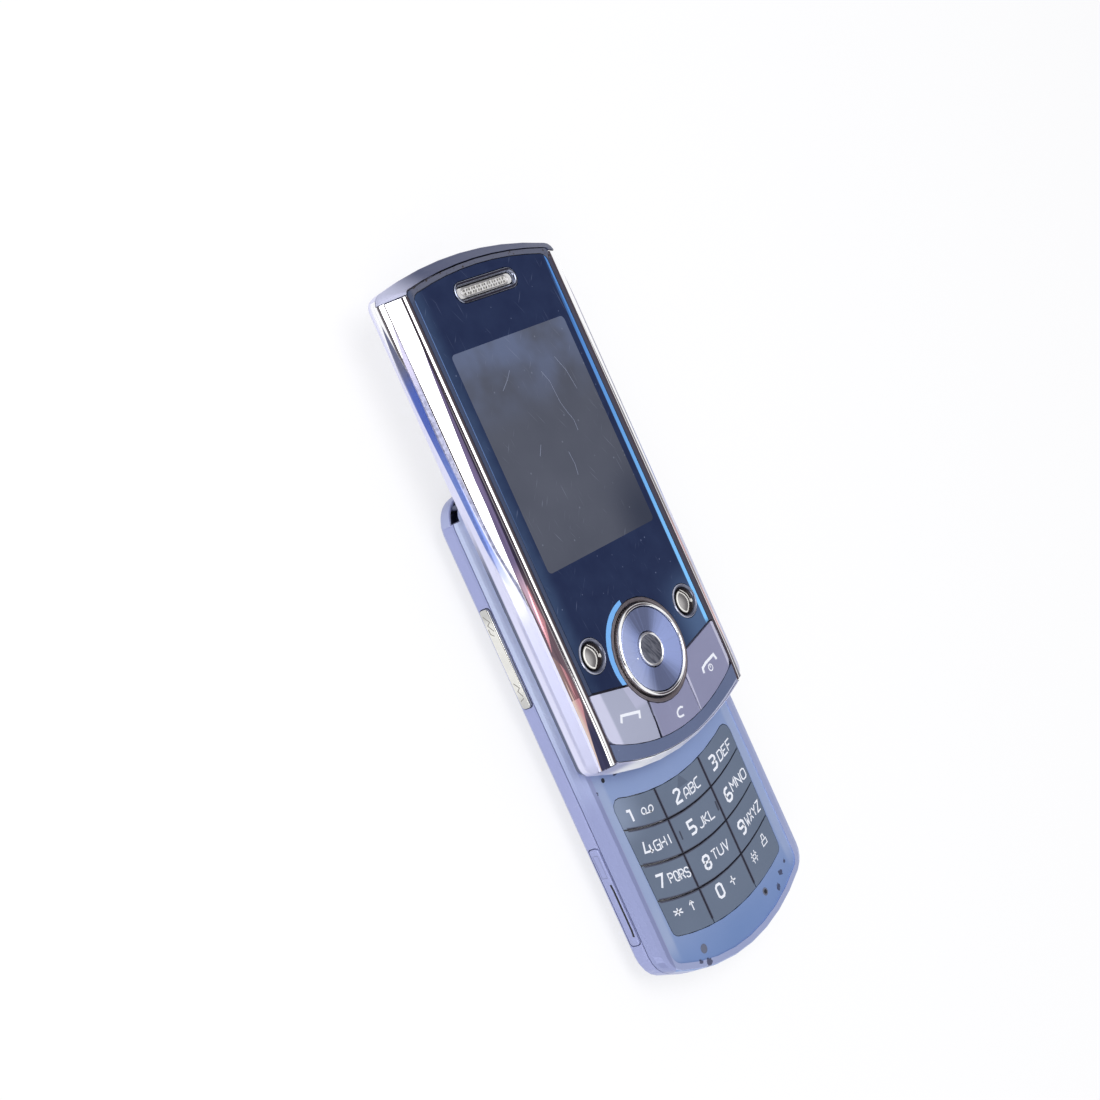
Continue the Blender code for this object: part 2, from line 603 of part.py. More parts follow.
# Lower half: side keys and covers
sides = (("volume_key", -1, VOLUME_Y, VOLUME_LENGTH, SIDE_KEY_DEPTH, SIDE_PROUD, volume_chrome),
         ("camera_key", 1, CAMERA_KEY_Y, CAMERA_KEY_LENGTH, SIDE_KEY_DEPTH, SIDE_PROUD, camera_key_chrome),
         ("card_cover", -1, CARD_COVER_Y, CARD_COVER_LENGTH, COVER_DOOR_DEPTH, 0.0, card_door),
         ("port_cover", 1, PORT_COVER_Y, PORT_COVER_LENGTH, COVER_DOOR_DEPTH, 0.0, port_door))
for name, side, y, length, depth, proud, look in sides:
    side_band(name, side, y, length, depth, proud, 0.0, look, 0.0006)
    change(rear, side_band(name + "_cut", side, y, length, BASE_WALL + 0.001, 0.001, SEAM, None, 0.0006))
pivot(bpy.data.objects["volume_key"], -(BASE_WIDTH / 2 - SIDE_KEY_DEPTH), VOLUME_Y, SIDE_Z)
pivot(bpy.data.objects["camera_key"], BASE_WIDTH / 2, CAMERA_KEY_Y, SIDE_Z)
pivot(bpy.data.objects["card_cover"], -(BASE_WIDTH / 2), CARD_COVER_Y + CARD_COVER_LENGTH / 2, SIDE_Z)
pivot(bpy.data.objects["port_cover"], BASE_WIDTH / 2, PORT_COVER_Y + PORT_COVER_LENGTH / 2, SIDE_Z)
pivot(battery_cover, 0, cover_y, 0)

# Lower half: inside
board_low = BASE_BOTTOM + BOARD_FOOT
board_high = BASE_TOP - BOARD_HEAD
board = block("main_board", (2 * (INSIDE_HALF - BOARD_SIDE), board_high - board_low, BOARD_THICKNESS), 0,
              (board_low + board_high) / 2, BOARD_HEIGHT, board_green, BASE_CORNER - 0.001)
strap_notch = block("strap_notch", (2 * STRAP_EDGE, STRAP_SLOT + 0.0022, STRAP_SLOT_HEIGHT + 0.001), STRAP_X,
                    STRAP_Y, STRAP_SLOT_BOTTOM - 0.0005)
change(board, strap_notch)
mat_length = KEYPAD_HIGH - KEYPAD_LOW + KEYPAD_RISE
block("keypad_mat", (2 * KEYPAD_HALF_BOTTOM, mat_length, MAT_THICKNESS), 0, KEYPAD_LOW + mat_length / 2,
      MAT_BOTTOM, mat_rubber, 0.002)
block("battery", (BATTERY_WIDTH, BATTERY_LENGTH, BATTERY_THICKNESS), 0, BATTERY_Y, LID_Z + SEAM / 2,
      battery_wrap, 0.0008)
inner_z = BAY_FLOOR + GAP
block("sim_holder", SIM_SIZE, INSIDE_HALF - BAY_SIDE - PORT_SIZE[0] - SIM_SIZE[0] / 2,
      ROW_HIGH - SIM_SIZE[1] / 2, inner_z, sim_steel, 0.0006)
block("card_socket", CARD_SIZE, -(INSIDE_HALF - BAY_SIDE - CARD_SIZE[0] / 2), ROW_HIGH - CARD_SIZE[1] / 2,
      inner_z, card_steel, 0.0004)
block("shield_can", SHIELD_SIZE, 0, HEAD_LOW + SHIELD_SIZE[1] / 2, inner_z, shield_steel, 0.0006)
block("data_port", PORT_SIZE, INSIDE_HALF - PORT_SIZE[0] / 2, PORT_COVER_Y, inner_z + SEAM, port_steel, 0.0004)
for name, side, radius, look in (("loudspeaker", -1, SPEAKER_RADIUS, speaker_black),
                                 ("vibration_motor", 1, MOTOR_RADIUS, motor_steel)):
    turned(name, [(radius, inner_z), (radius, inner_z + COIN_THICKNESS)],
           side * (INSIDE_HALF - COIN_EDGE - radius), HEAD_LOW + SPEAKER_RADIUS, look, 20, False)
block("antenna", ANTENNA_SIZE, 0, BASE_BOTTOM + ANTENNA_END + ANTENNA_SIZE[1] / 2, inner_z,
      antenna_plastic, 0.0008)

# Keypad: twelve keys in a bowed grid
key_names = (("key_star", "key_0", "key_hash"), ("key_7", "key_8", "key_9"),
             ("key_4", "key_5", "key_6"), ("key_1", "key_2", "key_3"))
line = KEYPAD_LOW
half_seam = KEY_SEAM / 2
for row, names in enumerate(key_names):
    height = tuple(reversed(KEYPAD_ROWS))[row]
    low_y = line + (0 if row == 0 else half_seam)
    high_y = line + height - (0 if row == 3 else half_seam)
    outer_low = keypad_half(low_y)
    outer_high = keypad_half(high_y)
    for column, name in enumerate(names):
        if column == 1:
            reach = KEYPAD_COLUMN - half_seam
            shape = key_outline(low_y, high_y, (-reach, -reach), (reach, reach), (0, 0, 0, 0), 3)
        else:
            near = KEYPAD_COLUMN + half_seam
            bottom_corner = KEYPAD_CORNER if row == 0 else 0
            top_corner = KEYPAD_CORNER if row == 3 else 0
            shape = key_outline(low_y, high_y, (-outer_low, -outer_high), (-near, -near),
                                (bottom_corner, 0, 0, top_corner), 3)
            if column == 2:
                shape = [(-x, y) for x, y in reversed(shape)]
        key = prism(name, shape, DECK - KEY_THICKNESS, DECK, key_paint)
        centre_x = (column - 1) * (KEYPAD_COLUMN + KEYPAD_HALF_TOP) / 2
        pivot(key, centre_x, line + height / 2, DECK - KEY_THICKNESS)
    line += height


# Upper half: outer form
def slide_form(name, low, look=None):
    """The upper half's outer form from one height up to the face."""
    rings = []
    for i in range(4):
        a = pi / 2 * i / 3
        z = UNDER + UNDER_EDGE_HEIGHT * (1 - cos(a))
        inset = UNDER_EDGE_INSET * (1 - sin(a))
        rings.append((z, inset, inset * 0.8, inset * 0.7))
    start = FACE - CHAMFER_HEIGHT
    for inward, upward in ((0, 0), (0.07, 0.11), (0.27, 0.29), (0.68, 0.70), (0.90, 0.93), (1, 1)):
        rings.append((start + CHAMFER_HEIGHT * upward, CHAMFER_INSET * inward,
                      CHAMFER_TOP_INSET * inward, CHAMFER_BOTTOM_INSET * inward))
    rings = [(low, *rings[[r[0] for r in rings].index(max(r[0] for r in rings if r[0] <= low))][1:])] + [
        ring for ring in rings if ring[0] > low]
    stack = []
    for z, side_in, top_in, bottom_in in rings:
        points = outline(SLIDE_WIDTH / 2, SLIDE_TOP, SLIDE_TOP_RISE, SLIDE_BOTTOM, SLIDE_BOTTOM_RISE,
                         SLIDE_CORNER, side_in, top_in, bottom_in)
        stack.append([(x, y, z) for x, y in points])
    edge = UNDER + UNDER_EDGE_HEIGHT
    return mesh_object(name, stack, look, fall=lambda z: max(0.0, (z - edge) / (FACE - edge)))


def trim_section(share, y, side, grow):
    """Four corners across one side trim, at one place along it."""
    slope = hypot(CHAMFER_INSET, CHAMFER_HEIGHT)
    normal = (CHAMFER_HEIGHT / slope, CHAMFER_INSET / slope)
    edge = (FACE_HALF + share * CHAMFER_INSET, FACE - share * CHAMFER_HEIGHT)
    deep = (edge[0] - TRIM_DEPTH * normal[0], edge[1] - (TRIM_DEPTH + grow) * normal[1])
    outer = (edge[0] + TRIM_REACH * normal[0] + grow, edge[1] + TRIM_REACH * normal[1])
    corners = [(FACE_HALF - grow, outer[1]), (FACE_HALF - grow, FACE - TRIM_INNER_DEPTH - grow),
               (deep[0] + grow, deep[1]), outer]
    return [(side * x, y, z) for x, z in corners]


trim_low = FACE_BOTTOM + TRIM_BOTTOM_GAP
trim_high = SLIDE_TOP - TRIM_TOP_GAP


def trim_region(name, side, grow):
    stations = [(trim_low - grow, TRIM_SHARE_BOTTOM),
                (trim_low + TRIM_FOOT, TRIM_SHARE_BOTTOM),
                (SLIDE_TOP - TRIM_BEND_BOTTOM, TRIM_SHARE_BOTTOM),
                (SLIDE_TOP - TRIM_BEND_TOP, TRIM_SHARE_TOP),
                (trim_high + grow, TRIM_SHARE_TOP)]
    sections = [trim_section(share, y, side, grow) for y, share in stations]
    return mesh_object(name, sections, fall=lambda z: 1.0)


shell = slide_form("slide_rear_housing", UNDER, slide_paint)
floor = UNDER + SLIDE_FLOOR
hollow_top = FACE - CHAMFER_HEIGHT - TRIM_DEPTH / 2
hollow_edge = outline(SLIDE_WIDTH / 2, SLIDE_TOP, SLIDE_TOP_RISE, SLIDE_BOTTOM, SLIDE_BOTTOM_RISE,
                      SLIDE_CORNER + 0.001, SLIDE_WALL, SLIDE_WALL, SLIDE_WALL)
change(shell, prism("slide_hollow", hollow_edge, floor, hollow_top))
change(shell, prism("face_well", face_outline(), hollow_top - 0.0002, FACE + 0.003))
for side in (-1, 1):
    change(shell, trim_region("trim_cut_%s" % ("left" if side < 0 else "right"), side, SEAM))
    trim = slide_form("side_trim_%s" % ("left" if side < 0 else "right"), hollow_top, trim_chrome)
    change(trim, trim_region("trim_keep_%s" % ("left" if side < 0 else "right"), side, 0.0), "INTERSECT")

cap_low = FACE - CAP_DEPTH
cap_span = (SLIDE_WIDTH + CAP_LENGTH, CAP_LENGTH)
cap_y = trim_high + cap_span[1] / 2
change(shell, prism("cap_cut", rectangle(cap_span[0], cap_span[1] + SEAM * 2, 0, cap_y + SEAM),
                    cap_low - SEAM, FACE + 0.003))
cap = slide_form("top_cap", hollow_top, cap_paint)
change(cap, prism("cap_keep", rectangle(cap_span[0], cap_span[1], 0, cap_y + SEAM), cap_low, FACE + 0.003),
       "INTERSECT")
change(cap, prism("cap_well", face_outline(-SEAM), cap_low - 0.002, FACE + 0.004))

# Upper half: front housing, lens and chin
def lens_edge(inset, with_nav):
    """Lens outline: bowed top, straight sides and two lower edges that fall to the middle."""
    half = LENS_HALF - inset
    low = LENS_LOW + inset
    arc = end_arc(half, FACE_TOP - LENS_FRAME, FACE_TOP_RISE, LENS_CORNER, LENS_HALF, inset, inset, 8, 3)
    points = [(half, low)] + arc + [(-half, low)]
    if not with_nav:
        return points + [(0.0, low - LENS_BOTTOM_SLOPE * half)]
    radius = NAV_WELL + SEAM + inset
    step = 0.0
    while hypot(half - step, low - LENS_BOTTOM_SLOPE * step - NAV_Y) > radius:
        step += 0.00005
    start = atan2(low - LENS_BOTTOM_SLOPE * step - NAV_Y, half - step)
    for i in range(17):
        a = pi - start - (pi - 2 * start) * i / 16
        points.append((radius * cos(a), NAV_Y + radius * sin(a)))
    return points


frame = prism("slide_front_housing", face_outline(SEAM), FACE_PLATE_BOTTOM, FACE, frame_paint, True)
lens_bottom = FACE - 0.00005 - LENS_THICKNESS
change(frame, prism("lens_pocket", lens_edge(-SEAM, False), lens_bottom - SEAM, FACE + 0.001))
key_line = LENS_LOW - KEY_LINE_GAP
low_zone = [(-FACE_HALF - 0.002, SLIDE_BOTTOM - 0.002), (FACE_HALF + 0.002, SLIDE_BOTTOM - 0.002),
            (FACE_HALF + 0.002, LENS_LOW - 0.0001), (LENS_HALF, LENS_LOW - 0.0001),
            (0.0, LENS_LOW - 0.0001 - LENS_BOTTOM_SLOPE * LENS_HALF),
            (-LENS_HALF, LENS_LOW - 0.0001), (-FACE_HALF - 0.002, LENS_LOW - 0.0001)]
change(frame, prism("key_zone", low_zone, FACE_PLATE_TOP, FACE + 0.002, fall=True))
change(frame, prism("nav_zone", circle(NAV_WELL + SEAM, 0, NAV_Y, 32), FACE_PLATE_TOP + 0.00002, FACE + 0.001))
change(frame, block("display_cut", (DISPLAY_WIDTH + 2 * GAP, DISPLAY_LENGTH + 2 * GAP, 0.006), 0, DISPLAY_Y,
                    FACE_PLATE_BOTTOM - 0.002))
change(frame, prism("receiver_cut", pill(RECEIVER_WIDTH + 2 * GAP, RECEIVER_HEIGHT + 2 * GAP, 0, EAR_Y), FACE_PLATE_BOTTOM - 0.001, FACE))

lens = prism("window_lens", lens_edge(0.0, True), lens_bottom, FACE - 0.00005, lens_glass)
change(lens, prism("ear_hole", pill(EAR_LENGTH + 2 * SEAM, EAR_HEIGHT + 2 * SEAM, 0, EAR_Y),
                   lens_bottom - 0.001, FACE + 0.001))
for side in (-1, 1):
    change(lens, prism("soft_hole_%d" % side, circle(SOFT_RING_RADIUS + SEAM, side * SOFT_X, SOFT_Y, 20),
                       lens_bottom - 0.001, FACE + 0.001))

call_half = FACE_HALF - GAP


def call_low(x, offset=0.0):
    """Lower edge of the call keys."""
    return CALL_LOW - offset + CALL_KEY_RISE * (x / call_half) ** 2


chin_outer = face_outline(SEAM)
chin_outer = [p for p in chin_outer if p[1] < call_low(p[0], SEAM) - 0.0002]
chin_outer.sort()
chin_half = FACE_HALF - SEAM
chin_inner = [(x, call_low(x, SEAM)) for x in [chin_half * (1 - i / 5) for i in range(11)]]
prism("chin_trim", chin_outer + chin_inner, FACE_PLATE_TOP + SEAM, FACE, chin_paint, True)

# Upper half: earpiece
prism("earpiece_mesh", pill(EAR_LENGTH - 2 * EAR_RING - 2 * SEAM, EAR_HEIGHT - 2 * EAR_RING - 2 * SEAM, 0, EAR_Y),
      lens_bottom + SEAM, FACE - EAR_RECESS, mesh_metal)
slots = 9
for row in (-1, 1):
    for i in range(slots):
        x = (i - (slots - 1) / 2) * 0.00135
        tool = block("slot_%d_%d" % (row, i), (0.0007, 0.0005, 0.0008), x, EAR_Y + row * 0.00042,
                     FACE - EAR_RECESS - 0.0003)
        change(bpy.data.objects["earpiece_mesh"], tool)
ring_cut = prism("ear_ring_cut", pill(EAR_LENGTH - 2 * EAR_RING, EAR_HEIGHT - 2 * EAR_RING, 0, EAR_Y),
                 lens_bottom - 0.001, FACE + 0.001)
ear_ring = prism("earpiece_bezel", pill(EAR_LENGTH, EAR_HEIGHT, 0, EAR_Y), lens_bottom, FACE + 0.0001,
                 ear_chrome)
change(ear_ring, ring_cut)
prism("receiver", pill(RECEIVER_WIDTH, RECEIVER_HEIGHT, 0, EAR_Y), lens_bottom - SEAM - RECEIVER_THICKNESS,
      lens_bottom - SEAM, receiver_black)

# Upper half: display and board behind the keys
block("lcd_panel", (DISPLAY_WIDTH, DISPLAY_LENGTH, DISPLAY_THICKNESS), 0, DISPLAY_Y,
      lens_bottom - SEAM - DISPLAY_THICKNESS, display_grey, 0.0004)
board_high = DISPLAY_Y - DISPLAY_LENGTH / 2 - GAP
board_low = CALL_LOW + CALL_KEY_RISE / 2
block("function_board", (2 * (LENS_HALF - SEAM), board_high - board_low, FUNCTION_BOARD_THICKNESS), 0,
      (board_high + board_low) / 2, FUNCTION_BOARD_TOP - FUNCTION_BOARD_THICKNESS, board_green, 0.001)


def stem(key, x, y, top):
    """A plunger under a face key, and its hole in the plate."""
    drop = face_drop(y)
    low = FUNCTION_BOARD_TOP + KEY_TRAVEL + SEAM / 2
    tool = turned(key.name + "_stem", [(STEM_RADIUS, low), (STEM_RADIUS, top - drop)], x, y, steps=10,
                  hollow=False)
    change(key, tool, "UNION")
    hole = turned(key.name + "_hole", [(STEM_RADIUS + SEAM * 2, FACE_PLATE_BOTTOM - 0.002),
                                       (STEM_RADIUS + SEAM * 2, FACE_PLATE_TOP + 0.002)], x, y, steps=12,
                  hollow=False)
    change(frame, hole)
    tool.parent = key
    return tool


def lift(key, x, y, z):
    """Moves a key's origin to its plunger, together with the plunger's guide."""
    pivot(key, x, y, z)
    for child in key.children:
        child.matrix_parent_inverse = Matrix.Translation((-x, -y, -z))


# Upper half: navigation pad
nav_low = FACE_PLATE_TOP + 0.0005
nav_top = FACE + NAV_PROUD
inner = NAV_RADIUS - NAV_RING_WIDTH
nav_ring = turned("nav_ring", [(NAV_RADIUS, nav_low), (NAV_RADIUS, nav_top - 0.00025),
                               (NAV_RADIUS - 0.00025, nav_top), (inner + 0.00012, nav_top),
                               (inner, nav_top - 0.0002), (inner, nav_low)],
                  0, NAV_Y, nav_chrome, 40)
disc_low = nav_low + 0.0004
nav_disc = turned("nav_disc", [(inner - SEAM, disc_low), (inner - SEAM, nav_top - 0.0002),
                               ((inner + OK_RADIUS) / 2, nav_top - 0.0002 - NAV_DISH * 0.6),
                               (OK_RADIUS + 0.0002, nav_top - 0.0002 - NAV_DISH),
                               (OK_RADIUS + 0.0002, disc_low)],
                  0, NAV_Y, nav_metal, 40)
rock = GIMBAL_OUTER * sin(ROCK_ANGLE) + 0.00003
nav_gimbal = turned("nav_gimbal", [(GIMBAL_OUTER, FACE_PLATE_TOP + rock), (GIMBAL_OUTER, disc_low - rock),
                                   (GIMBAL_INNER, disc_low - rock), (GIMBAL_INNER, FACE_PLATE_TOP + rock)],
                    0, NAV_Y, gimbal_plastic, 20)
for piece in (nav_ring, nav_disc, nav_gimbal):
    pivot(piece, 0, NAV_Y, FACE_PLATE_TOP + 0.0004)
turned("nav_bezel", [(NAV_WELL, FACE_PLATE_TOP + SEAM), (NAV_WELL, FACE + 0.00005),
                     (NAV_WELL - 0.0003, FACE + 0.00015), (NAV_RADIUS + GAP, FACE - 0.0002),
                     (NAV_RADIUS + GAP, FACE_PLATE_TOP + SEAM)], 0, NAV_Y, bezel_chrome, 40)
ok_top = nav_top - 0.0002 - NAV_DISH + 0.0001
ok_low = disc_low
ok_key = turned("ok_key", [(OK_RADIUS, ok_low), (OK_RADIUS, ok_top), (OK_RADIUS - 0.0004, ok_top + 0.0002),
                           (OK_RADIUS - 0.0007, ok_top)], 0, NAV_Y, ok_metal, 24, False)
stem(ok_key, 0, NAV_Y, ok_low + 0.0003)
lift(ok_key, 0, NAV_Y, ok_low)

# Upper half: soft keys
for side, word in ((-1, "left"), (1, "right")):
    x = side * SOFT_X
    ring_in = SOFT_KEY_RADIUS + SEAM
    turned("softkey_ring_" + word, [(SOFT_RING_RADIUS, lens_bottom), (SOFT_RING_RADIUS, FACE + 0.0001),
                                    (SOFT_RING_RADIUS - 0.00025, FACE + 0.0001), (ring_in, FACE - 0.0003),
                                    (ring_in, lens_bottom)], x, SOFT_Y, soft_ring_metal, 20)
    soft_low = lens_bottom - SEAM + KEY_TRAVEL + 0.00005
    dome = [(SOFT_KEY_RADIUS, soft_low), (SOFT_KEY_RADIUS, FACE - 0.0001)]
    for i in (1, 2, 3):
        a = pi / 2 * i / 3.6
        dome.append((SOFT_KEY_RADIUS * cos(a), FACE - 0.0001 + (SOFT_PROUD + 0.0001) * sin(a)))
    soft = turned("softkey_" + word, dome, x, SOFT_Y, soft_chrome, 20, False)
    stem(soft, x, SOFT_Y, soft_low + 0.0003)
    lift(soft, x, SOFT_Y, soft_low)

# Upper half: call, clear and end keys
well = NAV_WELL + SEAM


def upper_edge(x):
    return key_line - LENS_BOTTOM_SLOPE * (LENS_HALF - abs(x))


def divider(offset):
    """Line between two call keys, moved sideways by an offset."""
    top = (-cos(CLEAR_KEY_TOP_ANGLE - pi) * well, NAV_Y - sin(CLEAR_KEY_TOP_ANGLE - pi) * well)
    low_x = -CLEAR_KEY_BOTTOM_HALF + offset
    return (top[0] + offset, NAV_Y - sqrt(well ** 2 - (top[0] + offset) ** 2)), (low_x, call_low(low_x))


def send_outline():
    top, low = divider(-SEAM)
    reach = 0.0
    while hypot(call_half - reach, upper_edge(call_half - reach) - NAV_Y) > well:
        reach += 0.00005
    meet = (-(call_half - reach), upper_edge(call_half - reach))
    first = atan2(meet[1] - NAV_Y, meet[0])
    last = atan2(top[1] - NAV_Y, top[0])
    arc = [(well * cos(a), NAV_Y + well * sin(a)) for a in [last + (first - last) * i / 5 for i in range(6)]]
    lower = [(x, call_low(x)) for x in [-call_half + (call_half + low[0]) * i / 4 for i in range(5)]]
    points = lower + arc + [(-call_half, upper_edge(call_half))]
    return fillet(points, [CALL_KEY_CORNER] + [0.0] * (len(points) - 2) + [0.0003])


def clear_outline():
    top, low = divider(SEAM)
    first = atan2(top[1] - NAV_Y, top[0])
    arc = [(well * cos(a), NAV_Y + well * sin(a))
           for a in [-pi / 2 + (-pi / 2 - first) * (1 - i / 3) for i in range(7)]]
    lower = [(x, call_low(x)) for x in [low[0] * (1 - i / 3) for i in range(7)]]
    return lower + arc


call_bottom = FACE - 0.00005 - CALL_KEY_THICKNESS
send = send_outline()
stem_x = (NAV_WELL + call_half) / 2
stem_y = (upper_edge(stem_x) + call_low(stem_x)) / 2
clear_y = (NAV_Y - well + CALL_LOW) / 2
shapes = (("send_key", send, -stem_x, stem_y), ("clear_key", clear_outline(), 0.0, clear_y),
          ("end_key", [(-x, y) for x, y in reversed(send)], stem_x, stem_y))
for name, shape, x, y in shapes:
    key = prism(name, shape, call_bottom, FACE - 0.00005, call_paint, True)
    stem(key, x, y, call_bottom + 0.0003)
    lift(key, x, y, call_bottom)

# Rail, carriage and flat cable between the halves
rail_low = DECK - RAIL_DEPTH + SEAM
rail_half = RAIL_WIDTH / 2
lip_x = rail_half - RAIL_LIP
rail_top = DECK - 0.00005
channel = [(-rail_half, rail_low), (rail_half, rail_low), (rail_half, rail_top), (lip_x, rail_top),
           (lip_x, rail_top - RAIL_METAL), (rail_half - RAIL_METAL, rail_top - RAIL_METAL),
           (rail_half - RAIL_METAL, rail_low + RAIL_METAL), (-rail_half + RAIL_METAL, rail_low + RAIL_METAL),
           (-rail_half + RAIL_METAL, rail_top - RAIL_METAL), (-lip_x, rail_top - RAIL_METAL),
           (-lip_x, rail_top), (-rail_half, rail_top)]
rail = mesh_object("rail_plate", [[(x, y, z) for x, z in channel]
                                  for y in (RAIL_Y - RAIL_LENGTH / 2, RAIL_Y + RAIL_LENGTH / 2)], rail_steel)
flex_length = RAIL_LENGTH - 2 * FLEX_END
change(rail, block("flex_slot", (FLEX_WIDTH + 2 * GAP, flex_length + 2 * GAP, 0.002), 0, RAIL_Y,
                   rail_low - 0.001))
block("flex_cable", (FLEX_WIDTH, flex_length, FLEX_THICKNESS), 0, RAIL_Y, rail_low + 0.00005, flex_amber)
carriage_y = RAIL_Y + RAIL_LENGTH / 2 - CARRIAGE_LENGTH / 2 - GAP
wing_low = rail_low + RAIL_METAL + 0.00022
wing_top = wing_low + CARRIAGE_METAL
plate_half = lip_x - GAP
carriage_half = CARRIAGE_WIDTH / 2
step_shape = [(-carriage_half, wing_low), (carriage_half, wing_low), (carriage_half, wing_top),
              (plate_half, wing_top), (plate_half, DECK - 0.0001), (-plate_half, DECK - 0.0001),
              (-plate_half, wing_top), (-carriage_half, wing_top)]
carriage = mesh_object("slide_carriage", [[(x, y, z) for x, z in step_shape]
                                          for y in (carriage_y - CARRIAGE_LENGTH / 2,
                                                    carriage_y + CARRIAGE_LENGTH / 2)], carriage_steel)
for side in (-1, 1):
    tab = block("tab_%d" % side, (TAB_WIDTH, TAB_LENGTH, UNDER + SLIDE_FLOOR - 0.0002 - wing_top), side * TAB_X,
                carriage_y, wing_top)
    change(carriage, tab, "UNION")
    change(shell, block("tab_hole_%d" % side, (TAB_WIDTH + 2 * SEAM, TAB_LENGTH + 2 * SEAM, 0.003),
                        side * TAB_X, carriage_y, UNDER - 0.001))

# Camera on the back of the upper half
camera_top = lens_bottom - SEAM - RECEIVER_THICKNESS - GAP
block("camera_module", (CAMERA_SIZE, CAMERA_SIZE, camera_top - floor - GAP), 0, CAMERA_Y, floor + SEAM,
      camera_black, 0.0006)
change(shell, turned("camera_hole", [(CAMERA_RING_RADIUS + SEAM, UNDER - 0.001),
                                     (CAMERA_RING_RADIUS + SEAM, floor + 0.001)], 0, CAMERA_Y, steps=28,
                     hollow=False))
turned("camera_bezel", [(0.0014, UNDER + 0.0004), (0.0022, UNDER), (CAMERA_RING_RADIUS, UNDER),
                        (CAMERA_RING_RADIUS, floor)], 0, CAMERA_Y, camera_ring, 28, False)

# The halves move as one: every piece of the upper half follows this empty
slider = bpy.data.objects.new("slider", None)
bpy.context.scene.collection.objects.link(slider)
slider.location = (0, 0, UNDER)
bpy.context.view_layer.update()
upper = ("slide_", "window_", "side_trim", "top_cap", "chin_", "earpiece_", "receiver", "lcd_", "function_",
         "nav_", "ok_key", "softkey_", "send_", "clear_", "end_key", "camera_module", "camera_bezel")
for piece in list(bpy.data.objects):
    if not piece.hide_render and piece is not slider and piece.name.startswith(upper) and not piece.parent:
        piece.parent = slider
        piece.matrix_parent_inverse = slider.matrix_world.inverted()
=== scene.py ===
import json
from math import cos, pi, radians, sin
import bmesh
import bpy
from mathutils import Matrix, Vector

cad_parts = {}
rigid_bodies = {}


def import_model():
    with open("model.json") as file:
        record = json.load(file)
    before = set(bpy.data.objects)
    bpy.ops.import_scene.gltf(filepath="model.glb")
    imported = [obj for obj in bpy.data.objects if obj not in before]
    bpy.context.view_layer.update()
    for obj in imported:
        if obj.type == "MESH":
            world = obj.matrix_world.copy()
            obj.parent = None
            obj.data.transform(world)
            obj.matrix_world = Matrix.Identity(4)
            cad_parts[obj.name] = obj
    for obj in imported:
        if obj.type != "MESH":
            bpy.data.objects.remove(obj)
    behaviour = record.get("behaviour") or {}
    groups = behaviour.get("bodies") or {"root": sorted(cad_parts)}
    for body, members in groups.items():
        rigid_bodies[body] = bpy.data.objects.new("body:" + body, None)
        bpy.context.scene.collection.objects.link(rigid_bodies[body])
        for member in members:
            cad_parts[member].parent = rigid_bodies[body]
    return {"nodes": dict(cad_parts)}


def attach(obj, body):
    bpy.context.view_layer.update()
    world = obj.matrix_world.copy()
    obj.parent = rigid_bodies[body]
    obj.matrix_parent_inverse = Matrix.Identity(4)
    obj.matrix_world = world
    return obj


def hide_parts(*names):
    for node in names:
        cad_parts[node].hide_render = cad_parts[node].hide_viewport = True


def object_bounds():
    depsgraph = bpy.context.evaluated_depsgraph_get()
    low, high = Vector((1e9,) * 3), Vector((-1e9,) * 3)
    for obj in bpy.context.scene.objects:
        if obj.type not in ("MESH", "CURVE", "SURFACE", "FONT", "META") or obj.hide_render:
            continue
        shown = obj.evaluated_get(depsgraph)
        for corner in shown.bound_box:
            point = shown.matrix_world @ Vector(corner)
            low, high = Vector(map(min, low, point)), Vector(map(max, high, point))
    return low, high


for leftover in list(bpy.data.objects):
    bpy.data.objects.remove(leftover)
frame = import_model()
cad_low, cad_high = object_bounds()

# Camera, studio light and floor
# The phone lies on its back on a pale table, seen from its left side and from above. Soft light comes from
# all round, with a lamp overhead and one at the window side; polished metal also sees two dark screens.
MM = 0.001
scene = bpy.context.scene
scene.view_settings.view_transform = "Standard"
right = Vector((0.61015, -0.41044, 0.67768))
upward = Vector((0.31521, 0.91050, 0.26764))
back = Vector((-0.72688, 0.05032, 0.68492))
turn = Matrix((right, upward, back)).transposed().to_4x4()
camera_data = bpy.data.cameras.new("table_camera")
camera_data.lens = 59.46
camera_data.sensor_width = 36.0
camera_data.clip_start = 0.01
camera_data.clip_end = 20.0
camera = bpy.data.objects.new("table_camera", camera_data)
camera.matrix_world = Matrix.Translation(Vector((-238.526, 29.177, 226.503)) * MM) @ turn
scene.collection.objects.link(camera)
scene.camera = camera


class Value:
    """What a shader node gives, changing over the surface. Arithmetic with it adds nodes to the same shader."""

    def __init__(self, socket):
        self.socket, self.tree = socket, socket.id_data

    def __add__(self, other):
        return maths("ADD", self, other)

    def __sub__(self, other):
        return maths("SUBTRACT", self, other)

    def __rsub__(self, other):
        return maths("SUBTRACT", other, self)

    def __mul__(self, other):
        return maths("MULTIPLY", self, other)

    def __truediv__(self, other):
        return maths("DIVIDE", self, other)

    def __lt__(self, other):
        return maths("LESS_THAN", self, other)

    def __gt__(self, other):
        return maths("GREATER_THAN", self, other)

    def __abs__(self):
        return maths("ABSOLUTE", self)


def node(tree, kind, inputs=None, **settings):
    """One shader node, with its settings, and its inputs either set or linked."""
    made = tree.nodes.new("ShaderNode" + kind)
    for name, value in settings.items():
        setattr(made, name, value)
    for key, value in (inputs or {}).items():
        if isinstance(value, Value):
            tree.links.new(value.socket, made.inputs[key])
        else:
            made.inputs[key].default_value = value
    return made


